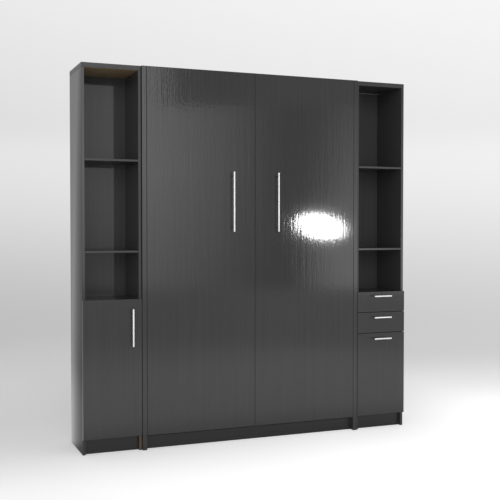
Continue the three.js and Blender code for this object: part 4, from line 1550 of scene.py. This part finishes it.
@dataclass
class Strap:
    """The webbing strap over the mattress, its slide buckle and its sewn tail."""

    node: str = "mattress_strap"
    thickness: float = 2 * MM
    bend: float = 14 * MM
    tail: float = 150 * MM
    tail_seams: Pair = (0.150, 0.163)

    def path(self, lift: float = 0.0, start: float = 0.0) -> np.ndarray:
        """The strap's centreline from the left rail over the mattress to the right one.

        Args:
            lift: How far the line lies outside it.
            start: Where along x a shorter stretch over the mattress starts; 0 for the whole strap.

        Returns:
            The path's points.
        """
        low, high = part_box(self.node)
        z = (low.z + high.z) / 2
        top, wide = high.y - self.thickness / 2 + lift, high.x - self.thickness / 2 + lift
        if start:
            x = np.linspace(start, start + self.tail, 16)
            return np.stack([x, np.full(16, top), np.full(16, z)], axis=1)
        radius = self.bend - self.thickness / 2
        left = arc((-wide + radius, top - radius), radius, 180, 90, 8)
        right = arc((wide - radius, top - radius), radius, 90, 0, 8)
        climb = np.linspace(low.y, top - radius, 12, endpoint=False)
        flat_x = np.linspace(-wide + radius, wide - radius, 62)[1:-1]
        flat = np.stack([flat_x, np.full(len(flat_x), top)], axis=1)
        up = np.stack([np.full(12, -wide), climb], axis=1)
        down = np.stack([np.full(12, wide), climb[::-1]], axis=1)
        line = np.concatenate([up, left, flat, right, down])
        return np.stack([line[:, 0], line[:, 1], np.full(len(line), z)], axis=1)

    def build(self, finishes: Finishes) -> None:
        """Builds the strap.

        Args:
            finishes: The set's finishes.
        """
        low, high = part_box(self.node)
        width = high.z - low.z
        z = (low.z + high.z) / 2
        band = Surface()
        band.carry(rounded(width, self.thickness, 0.0009, 2), self.path(), (0, 0, 1))
        tail = self.path(lift=0.0019, start=0.02)
        band.carry(rounded(width - 0.001, 0.0017, 0.0008, 2), tail, (0, 0, 1))
        band.piece("strap_band", "bed", [finishes.webbing], (self.node,), "webbing")
        buckle = Surface()
        top = high.y + 0.0015
        ring = rounded(0.034, width + 0.012, 0.006, 4)
        path = np.stack([ring[:, 0], np.full(len(ring), top), ring[:, 1] + z], axis=1)
        buckle.carry(rounded(0.0044, 0.0036, 0.0012, 2), path, (0, 1, 0), closed=True)
        bar = [(-width / 2 - 0.004, 0.002), (width / 2 + 0.004, 0.002)]
        buckle.turned(bar, (0.0, top + 0.0018, z), Axis.Z, sides=16)
        buckle.piece("strap_buckle", "bed", [finishes.zinc])
        thread = Surface()
        stitch = [(-0.0014, 0.0002), (-0.0008, 0.0005), (0.0008, 0.0005), (0.0014, 0.0002)]
        for x in self.tail_seams:
            for k in np.linspace(0, 1, 12):
                place = (x, high.y + 0.0023, low.z + 0.004 + k * (width - 0.008))
                thread.turned(stitch, place, Axis.Z, sides=6)
        thread.piece("strap_thread", "bed", [finishes.thread])


@dataclass
class Slats:
    """Sprung beech slats in rubber end caps on two steel strips.

    A slat's line is y = top - t / 2 - bow (x / half)^2, so it arches towards the mattress.
    """

    node: str = "slatted_base"
    count: int = 13
    width: float = 68 * MM
    thickness: float = 8 * MM
    bow: float = 6 * MM
    half: float = 649.7 * MM
    first: float = 188 * MM
    pitch: float = 164.42 * MM
    cap: float = 42 * MM
    strip: float = 14 * MM

    def build(self, finishes: Finishes) -> None:
        """Builds the slats, their caps and the strips.

        Args:
            finishes: The set's finishes.
        """
        low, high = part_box(self.node)
        top = high.y
        slats, caps, strips = Surface(), Surface(), Surface()
        x = np.linspace(-self.half, self.half, 33)
        y = top - self.thickness / 2 - self.bow * (x / self.half) ** 2
        section = rounded(self.width, self.thickness, 0.0026, 4)
        ends = rounded(self.width + 0.0016, self.thickness + 0.0016, 0.0036, 3)
        scale = np.array([0.94, 1.0, 1.0, 1.0, 1.0, 0.985])
        for number in range(self.count):
            z = self.first + number * self.pitch
            slats.carry(section, np.stack([x, y, np.full(33, z)], axis=1), (0, 0, 1))
            for side in (-1, 1):
                s = side * np.linspace(self.half + 0.0008, self.half - self.cap, 6)
                level = top - self.thickness / 2 - self.bow * (s / self.half) ** 2
                path = np.stack([s, level, np.full(6, z)], axis=1)
                caps.carry(ends, path, (0, 0, 1), scale=scale)
        slats.piece("slats", "bed", [finishes.beech_across], (self.node,), "beech")
        caps.piece("slat_caps", "bed", [finishes.rubber])
        level = top - self.bow - self.thickness - 0.0042
        for side in (-1, 1):
            x = side * (high.x - self.strip / 2)
            path = np.array([[x, level, z] for z in (low.z, high.z)])
            strips.carry(rounded(self.strip, 0.0072, 0.001, 2), path, (1, 0, 0))
        strips.piece("slat_strips", "bed", [finishes.black], slot="black_steel")


@dataclass
class FootLeg:
    """The folding leg: two cranked flat-oval arms, a round cross bar and two ribbed sleeves."""

    node: str = "foot_leg"
    arm: Pair = (25 * MM, 16 * MM)
    sleeve: float = 70 * MM
    sleeve_at: float = 585 * MM
    sleeve_radius: float = 0.014

    def build(self, finishes: Finishes) -> None:
        """Builds the leg.

        Args:
            finishes: The set's finishes.
        """
        low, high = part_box(self.node)
        half, outer = self.arm[0] / 2, self.arm[1] / 2
        pivot_y, pivot_z = low.y + half + 0.0015, high.z - half - 0.0015
        bar_y, bar_z = high.y - self.sleeve_radius, low.z + self.sleeve_radius
        steel = Surface()
        bend = self.arm[0]
        turn = arc((pivot_y + bend, bar_z + bend), bend, 180, 270, 10)
        down_z = np.linspace(pivot_z, bar_z + bend, 8, endpoint=False)
        down = np.stack([np.full(8, pivot_y), down_z], axis=1)
        out = np.stack([np.linspace(pivot_y + bend, bar_y, 10)[1:], np.full(9, bar_z)], axis=1)
        line = np.concatenate([down, turn, out])
        reach = high.x - self.arm[1]
        fillet = [(0, half + 0.0025), (0.0012, half + 0.0016), (0.0028, half + 0.0002)]
        eyes = (((pivot_y, pivot_z), half + 0.0015), ((bar_y, bar_z), half + 0.0003))
        for side in (-1, 1):
            x = side * (high.x - outer)
            path = np.stack([np.full(len(line), x), line[:, 0], line[:, 1]], axis=1)
            steel.carry(rounded(self.arm[1], self.arm[0], 0.0045, 4), path, (1, 0, 0))
            for centre, radius in eyes:
                eye = [
                    (-outer, radius - 0.0015), (-outer + 0.0015, radius),
                    (outer - 0.0015, radius), (outer, radius - 0.0015),
                ]
                steel.turned(eye, (x, *centre), Axis.X, sides=32)
        bar = [(-reach - 0.002, half), (reach + 0.002, half)]
        steel.turned(bar, (0, bar_y, bar_z), Axis.X, sides=32)
        for side in (-1, 1):
            steel.turned(fillet, (side * reach, bar_y, bar_z), Axis.X, sides=32, sign=-side)
        steel.piece("leg_tube", "leg", [finishes.black], (self.node,), "black_steel")
        self.sleeves(finishes, bar_y, bar_z)

    def sleeves(self, finishes: Finishes, y: float, z: float) -> None:
        """Slips a sleeve with shallow grooves over each end of the cross bar.

        Args:
            finishes: The set's finishes.
            y: Where the bar lies.
            z: How high the bar lies.
        """
        radius, length = self.sleeve_radius, self.sleeve
        ribs = [(0.0, radius - 0.0012), (0.0012, radius)]
        for step in np.linspace(0.006, length - 0.006, 9):
            ribs += [
                (step - 0.0016, radius), (step - 0.0008, radius - 0.0006),
                (step + 0.0008, radius - 0.0006), (step + 0.0016, radius),
            ]
        ribs += [(length - 0.0012, radius), (length, radius - 0.0012)]
        soles = Surface()
        for side in (-1, 1):
            soles.turned(ribs, (side * self.sleeve_at - length / 2, y, z), Axis.X, sides=32)
        soles.piece("leg_sleeves", "leg", [finishes.rubber])


@dataclass
class Strut:
    """A gas strut: cylinder with a rolled end, chromed rod, ball-eyes and their bolts."""

    side: Side
    top: Pair = (7.5 * MM, 675 * MM)
    foot: Pair = (-17.5 * MM, 240 * MM)
    x: float = 687.5 * MM
    cylinder: Pair = (200.7 * MM, 415.7 * MM)
    radius: float = 0.009
    rod_end: float = 225.7 * MM
    eye_radii: Pair = (0.0056, 0.012)

    def placed(self, surface: Surface) -> Surface:
        """Turns what was made along z from the origin onto the strut's line.

        Args:
            surface: The surface.

        Returns:
            The same surface, in its place.
        """
        rise = np.array([self.top[0] - self.foot[0], self.top[1] - self.foot[1]])
        rise = rise / np.linalg.norm(rise)
        side = self.side.value

        def change(points: np.ndarray) -> np.ndarray:
            """Maps x, y and z onto the way inwards, the strut's normal and its line.

            Args:
                points: Points about the origin.

            Returns:
                The points in their place.
            """
            y = self.foot[0] + points[:, 1] * rise[1] + points[:, 2] * rise[0]
            z = self.foot[1] - points[:, 1] * rise[0] + points[:, 2] * rise[1]
            return np.stack([side * (self.x - points[:, 0]), y, z], axis=1)

        return surface.moved(change)

    def eye(self, surface: Surface, z: float, slot: int) -> None:
        """Adds an eye about a cross hole.

        Args:
            surface: What it goes into.
            z: Its height along the strut.
            slot: Its material slot.
        """
        inner, outer = self.eye_radii
        rim = [
            (-0.004, inner), (-0.004, outer - 0.001), (-0.003, outer),
            (0.003, outer), (0.004, outer - 0.001), (0.004, inner),
        ]
        x, radius = (column[:, None] for column in np.array(rim + [rim[0]]).T)
        t = np.linspace(0, 2 * np.pi, 33)[:-1]
        ring = np.stack([np.repeat(x, 32, 1), radius * np.cos(t), z + radius * np.sin(t)], axis=2)
        surface.grid(ring, slot, caps=False)

    def build(self, finishes: Finishes) -> None:
        """Builds the strut's two halves.

        Args:
            finishes: The set's finishes.
        """
        self.build_cylinder(finishes)
        self.build_rod(finishes)

    def build_cylinder(self, finishes: Finishes) -> None:
        """Builds the cylinder with its rolled end, its groove and its upper eye.

        Args:
            finishes: The set's finishes.
        """
        low, high = self.cylinder
        end = math.dist(self.top, self.foot)
        r = self.radius
        profile = [
            (low, 0.0046), (low, 0.0066), (low + 0.0008, 0.0078), (low + 0.0022, 0.0087),
            (low + 0.004, r), (low + 0.011, r), (low + 0.0122, r - 0.0007),
            (low + 0.0138, r - 0.0007), (low + 0.015, r), (high - 0.006, r),
            (high - 0.002, r - 0.0007), (high, r - 0.0025), (high + 0.0004, 0.0036),
            (end - 0.011, 0.0036),
        ]
        barrel = Surface()
        barrel.turned(profile, (0, 0, 0), Axis.Z, sides=36)
        self.eye(barrel, end, slot=0)
        node = f"strut_cylinder_{self.side.word}"
        body = f"strut_{self.side.word}"
        self.placed(barrel).piece(node + "_fine", body, [finishes.black], (node,), "black_steel")

    def build_rod(self, finishes: Finishes) -> None:
        """Builds the rod with its lower eye and the bolt through it.

        Args:
            finishes: The set's finishes.
        """
        end = self.rod_end
        shaft = [(0.011, 0.0038), (0.0115, 0.004), (end, 0.004), (end + 0.0003, 0.0036)]
        bolt = [(0.004, 0.0069), (0.0048, 0.007), (0.006, 0.007), (0.0065, 0.0062)]
        shank = [(-0.0038, 0.0001), (-0.0038, 0.0054), (0.0042, 0.0054), (0.0042, 0.0001)]
        rod = Surface()
        rod.turned(shaft, (0, 0, 0), Axis.Z, sides=28)
        self.eye(rod, 0.0, slot=1)
        rod.turned(bolt, (0, 0, 0), Axis.X, slot=1, sides=6, sign=-1.0)
        rod.turned(shank, (0, 0, 0), Axis.X, slot=1, sides=20)
        node = f"strut_rod_{self.side.word}"
        body = f"strut_{self.side.word}_rod"
        materials = [finishes.chrome, finishes.zinc]
        self.placed(rod).piece(node + "_fine", body, materials, (node,), "chrome")


# Small fittings


def socket_screw(surface: Surface, place: Point, axis: Axis, sign: float, radius: float) -> None:
    """Adds a button-headed screw with a six-sided socket.

    The head turns the profile (h, r) about its axis; in the socket's rows the radius is
    r / cos(((t + 30) mod 60) - 30), t in degrees, which is a hexagon.

    Args:
        surface: What it goes into.
        place: The middle of the head's foot.
        axis: The screw's axis.
        sign: 1 where the head looks along the axis and -1 where it looks against it.
        radius: The head's radius.
    """
    rows = radius * np.array([
        [0.0, 1.0], [0.06, 1.0], [0.16, 0.97], [0.27, 0.85], [0.33, 0.68], [0.345, 0.52],
        [0.33, 0.44], [0.06, 0.43], [0.0, 0.02],
    ])
    rows[0, 0] = -0.2 * MM
    socket = np.arange(len(rows))[:, None] >= 6
    t = np.linspace(0, 2 * np.pi, 24, endpoint=False)
    sector = np.radians((np.degrees(t) + 30) % 60 - 30)
    radii = rows[:, 1][:, None] * np.where(socket, 1 / np.cos(sector)[None, :], 1.0)
    a, b, c = axis.basis()
    along = rows[:, 0][:, None, None] * sign * a
    across = radii[..., None] * (np.cos(t)[:, None] * b + np.sin(t)[:, None] * c)
    surface.grid(np.asarray(place) + along + across)


def plain_board(low: Point, high: Point, edge: float = 0.1 * MM) -> Surface:
    """A thin board with rounded edges: a section, carried upwards, a little smaller at both ends.

    Args:
        low: Its lowest corner.
        high: Its highest corner.
        edge: Its edges' rounding.

    Returns:
        The board's surface.
    """
    low, high = np.asarray(low, float), np.asarray(high, float)
    size, middle = high - low, (low + high) / 2
    section = rounded(size[0], size[1], edge, 2)
    smaller = 1 - edge / size[:2].max()
    grown = np.array([smaller, 1, 1, smaller])
    points = np.zeros((4, len(section), 3))
    points[..., :2] = middle[:2] + section[None] * grown[:, None, None]
    points[..., 2] = np.array([low[2], low[2] + edge, high[2] - edge, high[2]])[:, None]
    return Surface().grid(points)


@dataclass
class FoldMechanism:
    """The steel plates, pins and struts on both sides of the bed.

    The screws' places are how far back and how far up from the pivot they sit.
    """

    finishes: Finishes
    pivot: Pair = (-97.5 * MM, 320 * MM)
    screws: tuple[Pair, ...] = (
        (-18 * MM, 26 * MM), (18 * MM, -26 * MM), (62 * MM, 150 * MM), (125 * MM, 425 * MM),
    )
    plate: float = 696.7 * MM

    def build(self) -> None:
        """Builds plates with screws, pins and struts."""
        for side in Side:
            word = side.word
            copied(f"pivot_plate_{word}", [self.finishes.zinc], 0.5 * MM, angle=30)
            copied(f"pivot_pin_{word}", [self.finishes.zinc], 0.8 * MM, angle=30)
            heads = Surface()
            for back, up in self.screws:
                place = (side.value * self.plate, self.pivot[0] + back, self.pivot[1] + up)
                socket_screw(heads, place, Axis.X, -side.value, 5.6 * MM)
            heads.piece(f"plate_screws_{word}", "root", [self.finishes.zinc])
            Strut(side).build(self.finishes)


@dataclass
class Bed:
    """The folding bed: front handles, frame, slats, mattress, strap and leg."""

    finishes: Finishes
    bead: float = 1.6 * MM
    rail_inside: float = 652 * MM
    foot_bar: float = 99 * MM
    bar_pitch: float = 537.75 * MM

    def welds(self) -> None:
        """Lays weld beads where the cross bars meet the rails.

        The radius of a bead is r (1 + 0.12 cos(pi n)) at its n-th point, and 0.4 r at its ends.
        """
        low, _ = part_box("bed_frame")
        level = np.linspace(low.y + 1.5 * MM, low.y + 24 * MM, 20)
        ripple = 1 + 0.12 * np.cos(np.arange(20) * np.pi)
        ripple[[0, -1]] = 0.4
        beads = Surface()
        for number in range(3):
            z = self.foot_bar + self.bar_pitch * (number + 1)
            for side in (-1, 1):
                for edge in (-1, 1):
                    x, height = side * self.rail_inside, z + edge * 12.7 * MM
                    path = np.stack([np.full(20, x), level, np.full(20, height)], axis=1)
                    beads.carry(circle(self.bead, 8), path, (1, 0, 0), scale=ripple)
        beads.piece("frame_welds", "bed", [self.finishes.black], slot="black_steel")

    def build(self) -> None:
        """Builds everything that folds with the bed."""
        for side in Side:
            BarHandle(f"bed_handle_{side.word}", Axis.Z, 320 * MM).build(self.finishes)
        for part in (Mattress(), Strap(), Slats(), FootLeg()):
            part.build(self.finishes)
        copied("bed_frame", [self.finishes.black], 1.6 * MM)
        self.welds()


@dataclass
class MainCabinet:
    """The middle cabinet: painted shade on its sides' hidden outer faces, and the screws that hold
    it to the wall.
    """

    finishes: Finishes
    raw_from: float = 727.9 * MM
    fixings: tuple[float, ...] = (-0.52, -0.18, 0.18, 0.52)

    def build(self) -> None:
        """Builds the sides, with painted shade on their outer faces where the towers hide them, and
        the wall screws with washers.
        """
        # The outer faces where the towers hide them get the painted shade; the rest is front
        # laminate.
        materials = [self.finishes.raw_face, self.finishes.front]
        for side in Side:
            zone = tuple(sorted((side.value * self.raw_from, side.value)))
            copied(f"main_side_{side.word}", materials, BOARD_EDGE, BOARD_ANGLE, (zone,))
        low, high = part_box("wall_rail")
        level = (low.z + high.z) / 2
        washer = [(-0.0002, 0.011), (0.0008, 0.011), (0.0014, 0.0104), (0.0014, 0.004)]
        parts = Surface()
        for x in self.fixings:
            parts.turned(washer, (x, low.y, level), Axis.Y, sign=-1.0)
            socket_screw(parts, (x, low.y - 0.0012, level), Axis.Y, -1.0, 7 * MM)
        parts.piece("wall_screws", "root", [self.finishes.zinc])


@dataclass
class LeftTower:
    """The cupboard tower: lined top, raw edge beside the plinth, door, hinges and shelf pins."""

    finishes: Finishes
    outer: float = -1068 * MM
    inner: float = -746.3 * MM
    outside: float = -1085.9 * MM
    hinges: Pair = (816 * MM, 186 * MM)
    hinge_x: float = -1048 * MM
    hinge_back: float = -150 * MM
    pin_rows: Pair = (-100 * MM, 110 * MM)
    pin_drop: float = 2.6 * MM
    hole_pitch: float = 32 * MM

    def lining(self) -> None:
        """Lines the top's underside and the inner side's raw edge with brown board."""
        top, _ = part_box("left_top")
        back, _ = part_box("left_back")
        low = (self.outer + 0.4 * MM, top.y + 0.8 * MM, top.z - 0.35 * MM)
        high = (self.inner - 0.1 * MM, back.y, top.z + 0.1 * MM)
        plain_board(low, high).piece("left_top_liner", "root", [self.finishes.liner])
        side_low, side_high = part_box("left_side_inner")
        low = (side_low.x + 0.9 * MM, side_low.y - 0.3 * MM, 1.5 * MM)
        high = (side_high.x - 0.9 * MM, side_low.y + 0.1 * MM, 89 * MM)
        plain_board(low, high).piece("left_side_edge_strip", "root", [self.finishes.raw_edge])

    def hinge_screws(self) -> None:
        """Adds the hinges' screws: three on each mounting plate and two on each cup's flange."""
        fixed, moving = Surface(), Surface()
        for z in self.hinges:
            for up in (-10.5 * MM, 10.5 * MM):
                socket_screw(fixed, (self.outer + 4 * MM, -92 * MM, z + up), Axis.X, 1.0, 3.4 * MM)
            socket_screw(fixed, (self.outer + 13 * MM, -112 * MM, z), Axis.X, 1.0, 3 * MM)
            for up in (-24 * MM, 24 * MM):
                place = (self.hinge_x + 10.5 * MM, self.hinge_back, z + up)
                socket_screw(moving, place, Axis.Y, 1.0, 3.2 * MM)
        fixed.piece("hinge_screws_side", "root", [self.finishes.zinc])
        moving.piece("hinge_screws_door", "door", [self.finishes.zinc])

    def pins(self) -> None:
        """Adds the rows of shelf holes in the cupboard and the four pins under its loose shelf."""
        holes, pins = Surface(), Surface()
        shelf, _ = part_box("cupboard_shelf")
        level = shelf.z - self.pin_drop
        rim = [
            (-0.0003, 0.0031), (0.00012, 0.0031), (0.00016, 0.0028), (0.0001, 0.0026),
            (-0.0002, 0.0001),
        ]
        stem = [
            (-0.001, 0.0025), (0.0012, 0.0025), (0.0012, 0.0034), (0.0022, 0.0034),
            (0.0022, 0.0025), (0.0085, 0.0025), (0.009, 0.002),
        ]
        for wall, inward in ((self.outer, 1.0), (self.inner, -1.0)):
            for y in self.pin_rows:
                for number in (*range(-5, 0), *range(1, 6)):
                    place = (wall, y, level + number * self.hole_pitch)
                    holes.turned(rim, place, Axis.X, sides=14, sign=inward)
                pins.turned(stem, (wall, y, level), Axis.X, sides=16, sign=inward)
        holes.piece("shelf_holes", "root", [self.finishes.rubber])
        pins.piece("shelf_pins", "root", [self.finishes.zinc])

    def build(self) -> None:
        """Builds the tower's fittings and gives the outer side and the top several materials."""
        BarHandle("door_handle", Axis.Z, 160 * MM).build(self.finishes)
        hinge_arms = (self.outer + 0.1 * MM, -1.0)
        inside = (self.outer - 0.1 * MM, self.outer + 0.1 * MM)
        materials = [self.finishes.zinc, self.finishes.carcass, self.finishes.front]
        copied("left_side_outer", materials, BOARD_EDGE, BOARD_ANGLE, (hinge_arms, inside))
        materials = [self.finishes.front, self.finishes.carcass_across]
        copied("left_top", materials, BOARD_EDGE, BOARD_ANGLE, ((-2.0, self.outside),))
        for word in ("upper", "lower"):
            copied(f"hinge_cup_{word}", [self.finishes.zinc], 0.3 * MM, angle=30)
        self.lining()
        self.hinge_screws()
        self.pins()


@dataclass
class RightTower:
    """The drawer tower: runners, boxes with their screws, and bar handles."""

    finishes: Finishes
    inner: float = 746 * MM
    outer: float = 1068 * MM
    outside: float = 1085.9 * MM
    runners: float = 13 * MM
    runner_screws: tuple[float, ...] = (-125 * MM, -20 * MM, 85 * MM)
    front_screws: float = 80 * MM
    deep_box: float = 200 * MM
    row_inset: float = 100 * MM

    def drawer(self, word: str) -> None:
        """Builds one drawer's handle, its box with steel runners, and its screws.

        Args:
            word: The drawer's word in names.
        """
        BarHandle(f"drawer_{word}_handle", Axis.X, 96 * MM).build(self.finishes)
        name = f"drawer_{word}_box"
        low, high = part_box(name)
        left, right = self.inner + self.runners, self.outer - self.runners
        board = (left - 0.1 * MM, right + 0.1 * MM)
        copied(name, [self.finishes.box, self.finishes.zinc], 0.4 * MM, BOARD_ANGLE, (board,))
        screws = Surface()
        middle = (left + right) / 2
        heights = [(low.z + high.z) / 2]
        if high.z - low.z >= self.deep_box:
            heights = [low.z + self.row_inset, high.z - self.row_inset]
        for z in heights:
            for x in (middle - self.front_screws, middle + self.front_screws):
                socket_screw(screws, (x, low.y + 12 * MM, z), Axis.Y, 1.0, 4.2 * MM)
        for x, sign in ((left - 1.5 * MM, -1.0), (right + 1.5 * MM, 1.0)):
            for y in self.runner_screws:
                socket_screw(screws, (x, y, low.z + 30 * MM), Axis.X, sign, 3.2 * MM)
        screws.piece(f"drawer_{word}_screws", f"drawer_{word}", [self.finishes.zinc])

    def build(self) -> None:
        """Builds the drawers and gives the sides and the top several materials."""
        for word in ("upper", "middle", "deep"):
            self.drawer(word)
        runners = (0.0, self.outer - 0.1 * MM)
        inside = (self.outer - 0.1 * MM, self.outer + 0.1 * MM)
        materials = [self.finishes.zinc, self.finishes.carcass, self.finishes.front]
        copied("right_side_outer", materials, BOARD_EDGE, BOARD_ANGLE, (runners, inside))
        materials = [self.finishes.front, self.finishes.carcass_across]
        copied("right_top", materials, BOARD_EDGE, BOARD_ANGLE, ((self.outside, 2.0),))
        materials = [self.finishes.zinc, self.finishes.carcass]
        lined = ((self.inner + 0.1 * MM, 2.0),)
        copied("right_side_inner", materials, BOARD_EDGE, BOARD_ANGLE, lined)


# Boards whose grain runs from side to side.
ACROSS = (
    "main_top", "wall_rail", "low_rail", "cupboard_shelf",
    "left_top", "left_deck", "left_fixed_shelf", "left_shelf_upper", "left_shelf_lower",
    "right_top", "right_deck", "right_fixed_shelf", "right_shelf_upper", "right_shelf_lower",
)


def dress_boards(finishes: Finishes) -> None:
    """Gives every node its finish by its slot, with the grain along the board.

    Args:
        finishes: The set's finishes.
    """
    slots = {
        "laminate": finishes.front, "carcass": finishes.carcass, "chrome": finishes.bright,
        "black_steel": finishes.black, "zinc_steel": finishes.zinc, "beech": finishes.beech,
        "ticking": finishes.ticking, "webbing": finishes.webbing, "box_board": finishes.box,
    }
    boards = ("laminate", "carcass", "box_board")
    for part in frame["record"]["subparts"]:
        name = part["node"]
        material = slots[part["material_slot"]]
        if name in ACROSS:
            material = finishes.carcass_across
        # Plinths take the plinth laminate, whose darker colour is painted shade.
        if name.endswith("_plinth"):
            material = finishes.plinth
        if name.endswith("_back"):
            material = finishes.back
        dress(name, material, edge=BOARD_EDGE if part["material_slot"] in boards else 0.0)


def main() -> None:
    """Builds the scene."""
    logging.basicConfig(level=logging.INFO, format="%(name)s: %(message)s")
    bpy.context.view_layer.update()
    Studio().build()
    finishes = Finishes()
    dress_boards(finishes)
    for part in (MainCabinet, FoldMechanism, Bed, LeftTower, RightTower):
        part(finishes).build()
        log.info("%s built", part.__name__)


if __name__ == "__main__":
    main()
